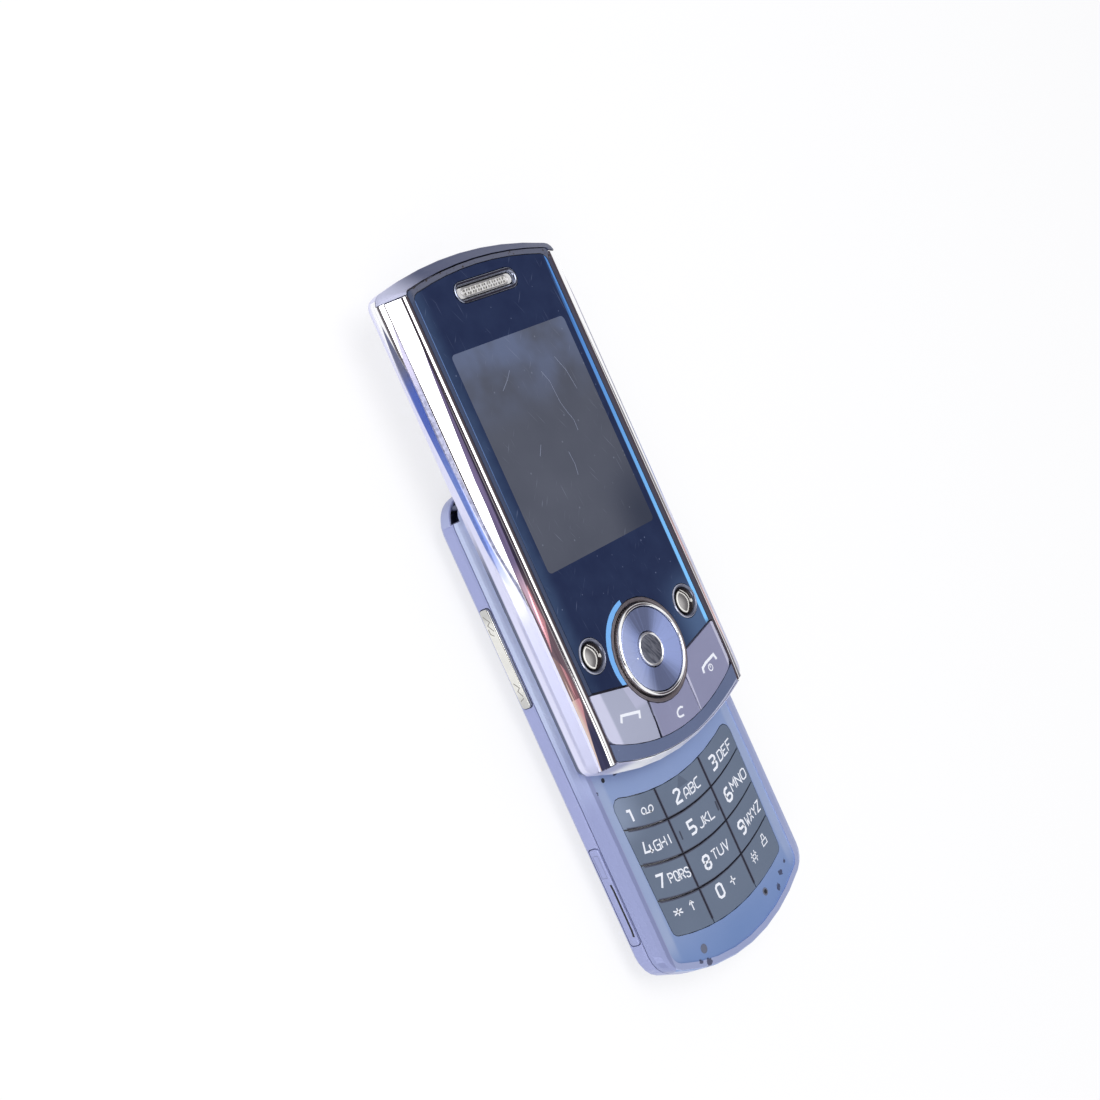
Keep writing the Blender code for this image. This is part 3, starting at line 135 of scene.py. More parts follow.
def field(tree, kind, inputs=None, output=0, **settings):
    """What a new node gives at one of its outputs."""
    return Value(node(tree, kind, inputs, **settings).outputs[output])


def maths(operation, first, second=0.0, third=0.0, clamp=False):
    tree = next(term.tree for term in (first, second, third) if isinstance(term, Value))
    return field(tree, "Math", {0: first, 1: second, 2: third}, operation=operation, use_clamp=clamp)


def ramp(value, low, high):
    """0 below low, 1 above high and a smooth step between them."""
    return field(value.tree, "MapRange", {"Value": value, "From Min": low, "From Max": high},
                 interpolation_type="SMOOTHSTEP")


def srgb(red, green, blue):
    """A colour as seen on a screen, 0 to 255, as the shader's own numbers."""
    def one(value):
        value /= 255
        return value / 12.92 if value < 0.04045 else ((value + 0.055) / 1.055) ** 2.4
    return one(red), one(green), one(blue), 1.0


def blend(share, first, second):
    """From one colour to another. Plain ones are given as on a screen."""
    first, second = (srgb(*tone) if isinstance(tone, tuple) else tone for tone in (first, second))
    return field(share.tree, "Mix", {0: share, 6: first, 7: second}, 2, data_type="RGBA")


def rays(tree):
    """Whether light goes straight to the camera, is mirrored first, or comes through glass."""
    path = node(tree, "LightPath")
    return [Value(path.outputs[f"Is {word} Ray"]) for word in ("Camera", "Glossy", "Transmission")]


studio = bpy.data.worlds.new("studio")
scene.world = studio
studio.use_nodes = True
tree = studio.node_tree
tree.nodes.clear()
straight, mirrored, through = rays(tree)
axes = node(tree, "SeparateXYZ", {0: field(tree, "TexCoord", output="Generated")})
screens = ramp(abs(Value(axes.outputs["X"])), 0.30, 0.52) * ramp(Value(axes.outputs["Z"]), 0.10, 0.26)
fill = field(tree, "Background", {"Color": srgb(250, 250, 255), "Strength": 0.62})
plain = field(tree, "Background", {"Color": (1, 1, 1, 1), "Strength": 1.0})
room = field(tree, "Background", {"Color": blend(screens, (255, 255, 255), (78, 70, 78)), "Strength": 1.0})
direct = field(tree, "MixShader", {0: maths("MAXIMUM", straight, through), 1: fill, 2: plain})
node(tree, "OutputWorld", {0: field(tree, "MixShader", {0: mirrored, 1: direct, 2: room})})

for name, place, size, power in (("overhead_lamp", (-0.15, 0.25, 0.9), 0.7, 4.2),
                                 ("window_lamp", (-0.75, -0.35, 0.45), 0.5, 2.0)):
    lamp_data = bpy.data.lights.new(name, "AREA")
    lamp_data.shape = "DISK"
    lamp_data.size = size
    lamp_data.energy = power
    lamp = bpy.data.objects.new(name, lamp_data)
    lamp.location = place
    lamp.rotation_mode = "QUATERNION"
    lamp.rotation_quaternion = Vector(place).to_track_quat("Z", "Y")
    scene.collection.objects.link(lamp)

TABLE_GAP = 0.00005
TABLE_GLOW = 0.72
floor_mesh = bpy.data.meshes.new("table_top")
floor_mesh.from_pydata([(-4, -4, 0), (4, -4, 0), (4, 4, 0), (-4, 4, 0)], [], [(0, 1, 2, 3)])
table_top = bpy.data.objects.new("table_top", floor_mesh)
table_top.location.z = cad_low.z - TABLE_GAP
scene.collection.objects.link(table_top)
table_white = bpy.data.materials.new("table_white")
table_white.use_nodes = True
tree = table_white.node_tree
tree.nodes.clear()
straight, mirrored, through = rays(tree)
cloud = field(tree, "TexNoise", {"Scale": 3.0})
matt = field(tree, "BsdfDiffuse", {0: blend(cloud, (246, 246, 248), (250, 250, 251))})
white = field(tree, "Emission", {0: (1, 1, 1, 1), 1: 1.0})
direct = maths("MAXIMUM", straight, maths("MAXIMUM", mirrored, through))
node(tree, "OutputMaterial", {0: field(tree, "MixShader", {0: direct * TABLE_GLOW, 1: matt, 2: white})})
table_top.data.materials.append(table_white)

# Lower housing, front and back
# Two moulded plastic shells, sprayed with a satin lavender-blue metallic paint and clipped together.
# The sunk deck round the keypad is a stronger blue than the rim and the sides; the rim has a few worn spots.


def group(name, inputs, outputs):
    """An empty shader node group with named sockets: its tree, what it is given, and its end node."""
    made = bpy.data.node_groups.new(name, "ShaderNodeTree")
    for word, value in inputs.items():
        kind = "NodeSocketColor" if isinstance(value, tuple) else "NodeSocketFloat"
        made.interface.new_socket(word, in_out="INPUT", socket_type=kind).default_value = value
    for word, kind in outputs.items():
        made.interface.new_socket(word, in_out="OUTPUT", socket_type="NodeSocket" + kind)
    start = made.nodes.new("NodeGroupInput")
    return made, {word: Value(start.outputs[word]) for word in inputs}, made.nodes.new("NodeGroupOutput")


def link(value, target):
    value.tree.links.new(value.socket, target)


def linear(value, slope, offset, clamp=False):
    return maths("MULTIPLY_ADD", value, slope, offset, clamp)


def either(*masks):
    total = masks[0]
    for mask in masks[1:]:
        total = maths("MAXIMUM", total, mask)
    return total


def spot(tree):
    """The place on the piece itself, so that a pattern moves with it."""
    return field(tree, "TexCoord", output="Object")


def noise(tree, scale, detail=2.0, vector=None):
    return field(tree, "TexNoise", {"Vector": vector or spot(tree), "Scale": scale, "Detail": detail})


# Metallic paint: fine flakes in the lacquer and slow, cloudy changes of tone
MID_GREY = (0.5, 0.5, 0.5, 1)
flake_paint, given, result = group(
    "flake_paint",
    {"Colour": MID_GREY, "Second": MID_GREY, "Flakes": 9000.0, "Cloud": 90.0, "Share": 0.5, "Gloss": 0.35},
    {"Colour": "Color", "Roughness": "Float", "Height": "Float"})
flakes = noise(flake_paint, given["Flakes"])
cloud = noise(flake_paint, given["Cloud"], 3.0)
share = linear(linear(flakes, 1.2, -0.6) + linear(cloud, 1.6, -0.8), given["Share"], 0.5, clamp=True)
link(blend(share, given["Colour"], given["Second"]), result.inputs["Colour"])
link(given["Gloss"] + linear(cloud, 0.16, -0.08), result.inputs["Roughness"])
link(flakes, result.inputs["Height"])

# Wear: short hair scratches in three directions, and one grain of grit in seven leaves a speck
SCRATCH_WIDTH, SCRATCH_DEPTH = 0.00026, 0.004
GRIT_SCALE = 800.0
SPECKS_FROM = 0.86
fine_wear, given, result = group("fine_wear", {"Scratches": 0.5, "Specks": 0.5, "Size": 1.0}, {"Mask": "Float"})
here = spot(fine_wear)
marks = []
for tilt, length in ((0.5, 0.0065), (-0.7, 0.0045), (0.1, 0.0080)):
    aim = field(fine_wear, "Mapping", {"Vector": here, "Rotation": (0, 0, tilt),
                                       "Scale": (SCRATCH_WIDTH, length, SCRATCH_DEPTH)}, vector_type="TEXTURE")
    line = field(fine_wear, "TexNoise", {"Vector": aim, "Scale": 1.0, "Detail": 1.0, "Distortion": 0.3})
    marks.append(ramp(line, 0.72, 0.86))
grit = node(fine_wear, "TexVoronoi", {"Vector": here, "Scale": given["Size"] * GRIT_SCALE})
some = field(fine_wear, "SeparateColor", {0: Value(grit.outputs["Color"])}) > SPECKS_FROM
dot = (1.0 - ramp(Value(grit.outputs["Distance"]), 0.06, 0.15)) * some
link(either(either(*marks) * given["Scratches"], dot * given["Specks"]), result.inputs["Mask"])


def finish(name, metallic=0.0, coat=0.0, specular=0.5, coat_roughness=0.06):
    """A new material with its shader. Constants sit on the shader's own sockets."""
    made = bpy.data.materials.new(name)
    made.use_nodes = True
    shader = made.node_tree.nodes["Principled BSDF"]
    for socket, value in (("Metallic", metallic), ("Coat Weight", coat), ("Coat Roughness", coat_roughness),
                          ("Specular IOR Level", specular)):
        shader.inputs[socket].default_value = value
    return made, made.node_tree, shader


def feed(shader, colour=None, roughness=None, metallic=None, normal=None):
    """Links what changes over the surface to a material's shader."""
    for socket, value in (("Base Color", colour), ("Roughness", roughness), ("Metallic", metallic),
                          ("Normal", normal)):
        if value is not None:
            link(value, shader.inputs[socket])


def bumped(height, strength):
    """Fine relief, no deeper than a fiftieth of a millimetre."""
    return field(height.tree, "Bump", {"Height": height, "Strength": strength, "Distance": 0.02 * MM})


def scuffs(tree, scratches, specks, size=1.0):
    """Where a material is worn."""
    return field(tree, "Group", {"Scratches": scratches, "Specks": specks, "Size": size}, node_tree=fine_wear)


def satin_paint(name, colour, second, gloss=0.36, metallic=0.3, share=0.45, wear=0.0, wear_tone=(235, 238, 250),
                specks=0.0, coat=0.15, specular=0.5):
    made, tree, shader = finish(name, metallic, coat, specular, coat_roughness=0.2)
    paint = node(tree, "Group", {"Colour": srgb(*colour), "Second": srgb(*second), "Share": share, "Gloss": gloss},
                 node_tree=flake_paint)
    tone, roughness, height = [Value(paint.outputs[word]) for word in ("Colour", "Roughness", "Height")]
    if wear or specks:
        tone = blend(scuffs(tree, wear, specks), tone, wear_tone)
    feed(shader, tone, roughness, normal=bumped(height, 0.05))
    return made


def dress(name, look):
    """Gives a CAD node its finish."""
    kept = frame["nodes"][name]
    for holder in kept.material_slots:
        holder.material = look


def places(tree):
    """The surface's own x, y and z in millimetres."""
    scaled = field(tree, "VectorMath", {0: spot(tree), "Scale": 1000.0}, operation="SCALE")
    axes = node(tree, "SeparateXYZ", {0: scaled})
    return [Value(axes.outputs[axis]) for axis in "XYZ"]


def away(x, y, centre=(0.0, 0.0)):
    """Distance in plan from one point, in millimetres."""
    dx, dy = x - centre[0], y - centre[1]
    return maths("SQRT", dx * dx + dy * dy)


def repaint(look, mask, tone):
    """Another colour over part of a material's own."""
    shader = look.node_tree.nodes["Principled BSDF"]
    feed(shader, blend(mask, Value(shader.inputs["Base Color"].links[0].from_socket), tone))


DECK_LOW, DECK_HIGH, DECK_HALF = 7.2, 7.66, 20.7
lower_paint = satin_paint("lower_paint", (160, 172, 214), (178, 187, 222), specks=0.25, wear=0.12)
tree = lower_paint.node_tree
x, y, z = places(tree)
deck_tone = blend(ramp(y, -52.0, -64.0), (164, 184, 222), (112, 146, 200))
deck_tone = blend(ramp(abs(x), 17.8, 18.8) * ramp(y, -62.0, -56.0), deck_tone, (192, 206, 232))
deck_tone = field(tree, "Group", {"Colour": deck_tone, "Second": srgb(138, 160, 210), "Share": 0.3}, "Colour",
                  node_tree=flake_paint)
repaint(lower_paint, (z < DECK_HIGH) * (z > DECK_LOW) * (abs(x) < DECK_HALF), deck_tone)
# Painted light and shade on the sides: lighter toward the upper end, darker on the left side lower down.
repaint(lower_paint, (abs(x) > DECK_HALF) * ramp(y, -24.0, -10.0), (194, 205, 236))
repaint(lower_paint, (x < -DECK_HALF) * ramp(y, -22.0, -32.0), (146, 154, 196))
RAGGED = 1.2
ragged = noise(tree, 2600.0, 3.0)
WORN_SPOTS = (((-12.5, -64.2), 0.75), ((14.9, -60.2), 0.6), ((12.7, -62.1), 0.55), ((-14.3, -63.1), 0.4),
              ((17.2, -58.9), 0.35), ((-20.6, -27.9), 0.3))
worn = [away(x, y, centre) < linear(ragged, RAGGED, radius - RAGGED / 2) for centre, radius in WORN_SPOTS]
repaint(lower_paint, either(*worn) * 0.85, (70, 72, 96))
dress("base_front_housing", lower_paint)
back_paint = satin_paint("back_paint", (150, 158, 202), (164, 170, 212), specks=0.2, wear=0.1)
dress("base_rear_housing", back_paint)
STRAP_CORNER = (-18.85, 23.1)
for look in (lower_paint, back_paint):
    x, y, z = places(look.node_tree)
    # Painted shade inside the strap notch: its walls are painted a darker blue-grey.
    hollow = (x < -20.0) * (y > 24.35) * (y < 28.8) * (z > 3.3) * (z < 7.05) * (away(x, y, STRAP_CORNER) < 5.3)
    repaint(look, hollow, (84, 90, 118))
dress("battery_cover", satin_paint("cover_paint", (142, 150, 194), (156, 162, 204), gloss=0.42, wear=0.25))


def piece(name, skin, look, body, stands_for=()):
    """A new mesh, given in millimetres in the part's own frame, riding on a CAD body."""
    points, faces = skin
    shape = bmesh.new()
    corners = [shape.verts.new(Vector(point) * MM) for point in points]
    for face in faces:
        shape.faces.new([corners[i] for i in face])
    bmesh.ops.recalc_face_normals(shape, faces=shape.faces)
    mesh = bpy.data.meshes.new(name)
    shape.to_mesh(mesh)
    shape.free()
    mesh.shade_smooth()
    mesh.set_sharp_from_angle(angle=radians(35))
    made = bpy.data.objects.new(name, mesh)
    scene.collection.objects.link(made)
    mesh.materials.append(look)
    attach(made, body)
    if stands_for:
        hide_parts(*stands_for)


def loft(sections, round_trip=False):
    """Points and faces of a closed skin over sections with the same number of points."""
    count = len(sections[0])
    points = [point for section in sections for point in section]
    total = len(sections)
    faces = []
    for i in range(total if round_trip else total - 1):
        j = (i + 1) % total
        for k in range(count):
            n = (k + 1) % count
            faces.append((i * count + k, i * count + n, j * count + n, j * count + k))
    if not round_trip:
        faces.append(tuple(range(count)))
        faces.append(tuple((total - 1) * count + k for k in range(count)))
    return points, faces


def turned(profile, centre, steps=48, hollow=True):
    """A turned piece from (radius, height) points. A hollow one's profile closes on itself."""
    sections = []
    for i in range(steps):
        a = 2 * pi * i / steps
        sections.append([(centre[0] + r * cos(a), centre[1] + r * sin(a), z) for r, z in profile])
    if hollow:
        return loft(sections, True)
    return loft([[section[k] for section in sections] for k in range(len(profile))])


def metal(name, colour, gloss, second=None, metallic=1.0, grain=1500.0):
    made, tree, shader = finish(name, metallic)
    cast = noise(tree, grain, 3.0)
    second = second or tuple(min(255, value + 14) for value in colour)
    feed(shader, blend(cast, colour, second), linear(cast, 0.08, gloss))
    return made


def plastic(name, colour, gloss=0.5, second=None, grain=2200.0):
    """Moulded plastic with a fine spark-eroded grain."""
    made, tree, shader = finish(name)
    pores = noise(tree, grain, 3.0)
    second = second or tuple(min(255, value + 10) for value in colour)
    feed(shader, blend(pores, colour, second), linear(pores, 0.12, gloss - 0.06), normal=bumped(pores, 0.25))
    return made


# Small fittings in the deck: microphone opening, rubber bumper and a screw recess
# Each is a little ring or button pressed into the front shell beside the keypad.
MICROPHONE = (8.8, -61.1)
rubber = plastic("bumper_rubber", (92, 98, 118), 0.6)
# The openings are dark discs, painted shade for the hollows behind them; the card door's fingernail slot is drawn the
# same way.
hole_shade = plastic("painted_opening_shade", (22, 24, 32), 0.7)
for name, centre, radius, look in (("bumper", (-12.2, -61.7), 0.85, rubber), ("mic_rim", MICROPHONE, 0.75, rubber),
                                   ("screw_recess", (-17.9, -26.5), 0.42, hole_shade)):
    profile = [(radius, 7.55), (radius, 7.62), (radius * 0.86, 7.66), (radius * 0.55, 7.64), (radius * 0.2, 7.63)]
    piece(name, turned(profile, centre, 24, False), look, "base")
piece("mic_hole", turned([(0.42, 7.6), (0.42, 7.665), (0.1, 7.668)], MICROPHONE, 20, False), hole_shade, "base")

# Side keys, doors and strap corner
# A polished metal rocker for volume with engraved marks, a metal camera key, and two hinged doors, the card
# door with a slot for a fingernail. At the corner a steel pin and a painted bar hold a strap.


def ribbon(path, half, low, high, place=lambda u, v, w: (u, v, w)):
    """A flat stroke of even width along a path, with mitred joints."""
    spine = [Vector(point) for point in path]
    last = len(spine) - 1
    closed = (spine[0] - spine[-1]).length < 1e-6
    points, faces = [], []
    for i, here in enumerate(spine):
        before = spine[i] - spine[i - 1] if i else (spine[-1] - spine[-2] if closed else spine[1] - spine[0])
        after = spine[i + 1] - spine[i] if i < last else (spine[1] - spine[0] if closed else spine[-1] - spine[-2])
        before, after = before.normalized(), after.normalized()
        along = (before + after).normalized()
        side = Vector((-along.y, along.x))
        reach = half / max(0.35, side.dot(Vector((-before.y, before.x))))
        for level in (low, high):
            for sign in (1, -1):
                p = here + side * reach * sign
                points.append(place(p.x, p.y, level))
    for i in range(last):
        a, b = 4 * i, 4 * (i + 1)
        for p, q in ((0, 1), (1, 3), (3, 2), (2, 0)):
            faces.append((a + p, a + q, b + q, b + p))
    faces += [(0, 1, 3, 2), tuple(4 * last + k for k in (0, 1, 3, 2))]
    return points, faces


def merged(parts):
    """Several skins as one."""
    points, faces = [], []
    for more_points, more_faces in parts:
        shift = len(points)
        points += more_points
        faces += [tuple(i + shift for i in face) for face in more_faces]
    return points, faces


def rounded_box(width, length, radius, x=0.0, y=0.0, steps=6):
    edge = []
    for sx, sy, start in ((1, 1, 0.0), (-1, 1, pi / 2), (-1, -1, pi), (1, -1, 1.5 * pi)):
        for i in range(steps + 1):
            a = start + pi / 2 * i / steps
            edge.append((x + sx * (width / 2 - radius) + radius * cos(a),
                         y + sy * (length / 2 - radius) + radius * sin(a)))
    return edge


BAR_HEIGHT, BAR_LEVEL, BAR_CORNER = 2.05, 4.725, 0.6
KEY_INNER, KEY_OUTER = 22.95, 24.65
DOOR_INNER, DOOR_OUTER, DOOR_EASE = 23.65, 24.35, 0.1


def side_bar(side, y, length, inner, outer, edge=0.16):
    """A rounded bar let into the side wall, with its outer edge eased."""
    sections = []
    for x, inset in ((inner, 0.0), (outer - edge, 0.0), (outer - edge * 0.4, edge * 0.3), (outer, edge)):
        corners = rounded_box(length - 2 * inset, BAR_HEIGHT - 2 * inset, BAR_CORNER - inset * 0.5, y, BAR_LEVEL, 5)
        sections.append([(side * x, u, v) for u, v in corners])
    return loft(sections)


def on_side(u, v, w):
    """Lays a mark on the left side wall."""
    return w, u, v


cream_metal, tree, shader = finish("cream_metal", 1.0)
x, y, z = places(tree)
polish = noise(tree, 420.0, 4.0)
clear_tone = blend(ramp(abs(y + 0.2), 5.6, 8.2), (244, 243, 236), (206, 206, 202))
feed(shader, blend(polish * 0.35, clear_tone, (186, 186, 184)), linear(polish, 0.12, 0.14))
piece("volume_rocker", side_bar(-1, -0.2, 18.4, KEY_INNER, KEY_OUTER), cream_metal, "volume_key", ["volume_key"])
VOLUME_MARKS = ([(7.9, 4.2), (6.7, 5.2), (6.2, 4.4), (5.0, 5.3)], [(5.6, 4.2), (4.7, 4.2), (4.2, 4.9)],
                [(-4.6, 4.3), (-5.6, 5.2), (-6.1, 4.5), (-7.2, 5.2)], [(-7.9, 4.2), (-7.5, 5.2)])
piece("volume_marks", merged([ribbon(path, 0.075, -24.6, -24.665, on_side) for path in VOLUME_MARKS]),
      plastic("engraved_mark", (128, 124, 118), 0.4), "volume_key")
piece("camera_button", side_bar(1, -10.0, 9.0, KEY_INNER, KEY_OUTER),
      metal("camera_button_metal", (214, 214, 220), 0.16), "camera_key", ["camera_key"])
piece("card_door", side_bar(-1, -45.3, 18.2, DOOR_INNER, DOOR_OUTER, DOOR_EASE), back_paint, "card_cover",
      ["card_cover"])
nail_slot = [(-42.9, 5.3), (-44.0, 5.42), (-51.6, 5.42), (-52.8, 5.25)]
outline_mark = [(-37.4, 4.1), (-37.4, 5.3), (-41.6, 5.3), (-41.6, 4.1), (-37.4, 4.1)]
# The fingernail slot is a dark strip, painted shade in the slot.
piece("card_door_slot", ribbon(nail_slot, 0.22, -24.3, -24.365, on_side), hole_shade, "card_cover")
piece("card_door_mark", ribbon(outline_mark, 0.05, -24.3, -24.36, on_side),
      plastic("faint_mark", (118, 124, 160), 0.5), "card_cover")
piece("port_door", side_bar(1, 6.5, 11.2, DOOR_INNER, DOOR_OUTER, DOOR_EASE),
      plastic("port_rubber", (128, 134, 172), 0.6), "port_cover", ["port_cover"])
pin = turned([(0.5, 3.38), (0.62, 3.45), (0.62, 6.8), (0.5, 6.92), (0.1, 6.94)], (-21.65, 26.6), 24, False)
piece("strap_pin", pin, metal("post_steel", (96, 100, 120), 0.3), "base", ["strap_post"])
BAR_CUT = ((4.85, 3.45), (5.45, 3.45), (5.5, 3.6), (5.5, 5.3), (5.42, 5.5), (5.25, 5.58), (5.0, 5.55), (4.85, 5.4))
sections = []
for i in range(17):
    a = radians(168 - 6 * i)
    sections.append([(STRAP_CORNER[0] + r * cos(a), STRAP_CORNER[1] + r * sin(a), z) for r, z in BAR_CUT])
piece("strap_bar", loft(sections), satin_paint("strap_paint", (160, 168, 206), (174, 181, 217)), "base")

# Keypad
# One thin pressed sheet over twelve keys, painted dark grey-blue, with grooves between the keys
# that thin out toward the right. The legends are printed in white.
KEY_LINES = (-39.45, -46.25, -53.05)
KEY_BOW = 3.6 / 18.4 ** 2
KEY_TOP = -33.4
key_sheet = satin_paint("key_sheet", (100, 113, 133), (110, 123, 143), gloss=0.4, metallic=0.1, wear=0.12,
                        wear_tone=(150, 162, 182))
x, y, z = places(key_sheet.node_tree)
level = y - x * x * KEY_BOW
thin = linear(x, -0.0080, 0.25)
grooves = [(1.0 - ramp(abs(level - line), thin * 0.75, thin * 1.35)) * ramp(x, -17.6, -17.2) for line in KEY_LINES]
grooves.append((1.0 - ramp(abs(abs(x) - 7.0), 0.27, 0.42)) * ramp(level, KEY_TOP, -33.8) * ramp(level, -59.2, -58.8))
groove = either(*grooves)
repaint(key_sheet, groove, (74, 76, 92))
pale_corner = ramp(x, -10.0, -18.0) * ramp(y, -40.0, -34.0)
repaint(key_sheet, pale_corner * linear(groove, -0.8, 0.8), (140, 154, 178))
below = KEY_TOP - y
peak = ramp(below, 0.0, 0.3) * (abs(x - 0.2) < below * 0.8) * (y > -35.6)
repaint(key_sheet, peak * 0.5, (78, 88, 108))
for name in frame["nodes"]:
    if name.startswith("key_"):
        dress(name, key_sheet)

legend_ink = plastic("legend_ink", (226, 230, 238), 0.45, (240, 242, 248))
STROKES = {"0": "10 01 05 16 36 45 41 30 10", "1": "06 26 20", "2": "05 16 36 45 44 01 00 40",
           "3": "06 36 45 44 33 13|33 42 41 30 00", "4": "16 01 41|34 30", "5": "46 06 03 33 42 41 30 00",
           "6": "36 16 05 01 10 30 41 42 33 03", "7": "06 46 10",
           "8": "10 01 02 13 33 44 45 36 16 05 04 13|33 42 41 30 10", "9": "10 30 41 45 36 16 05 04 13 43",
           "*": "25 21|04 42|44 02", "#": "10 16|30 36|02 42|04 44", "+": "20 26|03 43",
           "A": "00 04 16 36 44 40|02 42", "B": "00 06 36 45 44 33 03|33 42 41 30 00", "C": "46 16 05 01 10 40",
           "D": "00 06 36 45 41 30 00", "E": "46 06 00 40|03 33", "F": "46 06 00|03 33",
           "G": "46 16 05 01 10 40 43 23", "H": "00 06|40 46|03 43", "I": "20 26", "J": "46 41 30 10 01",
           "K": "00 06|46 03 40", "L": "06 00 40", "M": "00 06 23 46 40", "N": "00 06 40 46",
           "O": "10 01 05 16 36 45 41 30 10", "P": "00 06 36 45 44 33 03",
           "Q": "10 01 05 16 36 45 41 30 10|32 40", "R": "00 06 36 45 44 33 03|23 40",
           "S": "45 36 16 05 04 13 33 42 41 30 10 01", "T": "06 46|26 20", "U": "06 01 10 30 41 46",
           "V": "06 20 46", "W": "06 10 23 30 46", "X": "00 46|06 40", "Y": "06 23 46|23 20", "Z": "06 46 00 40",
           "^": "20 26|04 26 44"}
INK_LOW, INK_HIGH = 7.56, 7.6


def printed(path, half):
    return ribbon(path, half, INK_LOW, INK_HIGH)


def letter(sign, middle, width, height, half, slope=0.0, curve=0.0):
    """One sign's strokes on a 4 by 6 grid, leaning along the row."""
    parts = []
    for chain in STROKES[sign].split("|"):
        path = []
        for point in chain.split():
            u = (int(point[0]) / 4 - 0.5) * width
            v = (int(point[1]) / 6 - 0.5) * height
            x = middle[0] + u
            path.append((x, middle[1] + v + slope * u + curve * (x * x - middle[0] ** 2)))
        parts.append(printed(path, half))
    return parts


def round_path(x, y, width, height):
    return [(x + width * cos(pi * k / 7), y + height * sin(pi * k / 7)) for k in range(15)]


# Each key: its figure and where that stands, then its word and where the word starts and ends
LEGENDS = {"key_1": ("1", (-15.0, -34.6), "", None),
           "key_2": ("2", (-2.2, -36.6), "ABC", ((-0.33, -37.16), (4.64, -36.66))),
           "key_3": ("3", (10.3, -35.5), "DEF", ((12.21, -35.26), (16.89, -34.30))),
           "key_4": ("4", (-14.6, -40.85), "GHI", ((-12.95, -41.48), (-8.02, -42.07))),
           "key_5": ("5", (-2.1, -42.8), "JKL", ((-0.16, -43.17), (4.68, -43.02))),
           "key_6": ("6", (10.5, -42.05), "MNO", ((12.02, -41.39), (17.33, -40.53))),
           "key_7": ("7", (-15.0, -47.2), "PQRS", ((-12.93, -47.73), (-7.47, -48.95))),
           "key_8": ("8", (-2.3, -49.7), "TUV", ((-0.29, -49.46), (4.85, -49.35))),
           "key_9": ("9", (10.2, -48.7), "WXYZ", ((11.85, -48.29), (17.19, -47.23))),
           "key_star": ("*", (-14.3, -53.5), "^", ((-11.0, -54.15), (-9.8, -54.25))),
           "key_0": ("0", (-2.2, -55.4), "+", ((1.1, -55.4), (2.8, -55.4))),
           "key_hash": ("#", (10.0, -54.6), "", None)}
WORD_HEIGHT, WORD_HALF = 1.75, 0.13
LETTER_GAP = 0.34
for key, (digit, middle, word, span) in LEGENDS.items():
    wide, tall, half = {"1": (1.7, 2.0, 0.24), "*": (2.2, 2.2, 0.13), "#": (1.9, 2.1, 0.1),
                        "4": (2.2, 2.35, 0.19)}.get(digit, (1.7, 2.35, 0.235))
    parts = letter(digit, middle, wide, tall, half, curve=0.75 * KEY_BOW)
    if word:
        start, end = Vector(span[0]), Vector(span[1])
        width = (end.x - start.x) / (len(word) + LETTER_GAP * (len(word) - 1))
        lean = (end.y - start.y) / (end.x - start.x)
        for i, sign in enumerate(word):
            centre = start.x + width * (0.5 + (1 + LETTER_GAP) * i)
            parts += letter(sign, (centre, start.y + lean * (centre - start.x)), width, WORD_HEIGHT, WORD_HALF, lean)
    if key == "key_1":
        for x, y in ((-11.75, -35.15), (-9.85, -35.5)):
            parts.append(printed(round_path(x, y, 0.6, 0.55), 0.12))
        parts.append(printed([(-11.75, -35.72), (-9.85, -36.07)], 0.12))
    if key == "key_hash":
        parts.append(printed([(13.55, -54.2), (15.05, -53.9), (15.05, -53.0), (13.55, -53.3), (13.55, -54.2)], 0.1))
        parts.append(printed([(13.85, -53.2), (14.0, -52.2), (14.6, -52.1), (14.75, -53.0)], 0.1))
    piece("legend_" + key, merged(parts), legend_ink, key)
TICK_HIGH = INK_HIGH + 0.06
piece("key_5_ticks", merged([ribbon([(6.35, -41.6), (6.25, -43.4)], 0.16, INK_LOW, TICK_HIGH),
                             ribbon([(-5.6, -42.0), (-5.65, -43.6)], 0.12, INK_LOW, TICK_HIGH)]),
      plastic("tick_ink", (60, 64, 80), 0.5), "key_5")

# Inside the lower half
# Main board with its screening can, battery, SIM and memory card holders, socket, loudspeaker,
# vibration motor and antenna, all under the front shell; the keypad mat is clear silicone rubber.
board_mask = plastic("board_mask", (20, 92, 58), 0.42, (32, 112, 70), grain=900.0)
dress("keypad_mat", plastic("mat_silicone", (212, 214, 220), 0.55))
dress("main_board", board_mask)
dress("shield_can", metal("can_steel", (196, 196, 200), 0.34))
dress("battery", plastic("battery_wrap", (58, 60, 66), 0.5, (74, 76, 82)))
dress("sim_holder", metal("sim_steel", (200, 200, 200), 0.38))
dress("card_socket", metal("socket_steel", (190, 192, 194), 0.38))
dress("data_port", metal("port_steel", (186, 186, 190), 0.34))
dress("loudspeaker", plastic("speaker_cone", (34, 34, 38), 0.5))
dress("vibration_motor", metal("motor_steel", (190, 190, 194), 0.3))
dress("antenna", plastic("antenna_frame", (214, 208, 190), 0.5))

# Rail and carriage between the two halves
# Folded stainless sheet: the rail is fixed in the front shell's tray and the carriage runs in it.
# An amber flat cable crosses between the two boards.
dress("rail_plate", metal("rail_steel", (176, 176, 180), 0.3, grain=600.0))
dress("slide_carriage", metal("carriage_steel", (184, 184, 188), 0.3, grain=600.0))
dress("flex_cable", plastic("flex_amber", (180, 118, 44), 0.35, (196, 132, 54)))
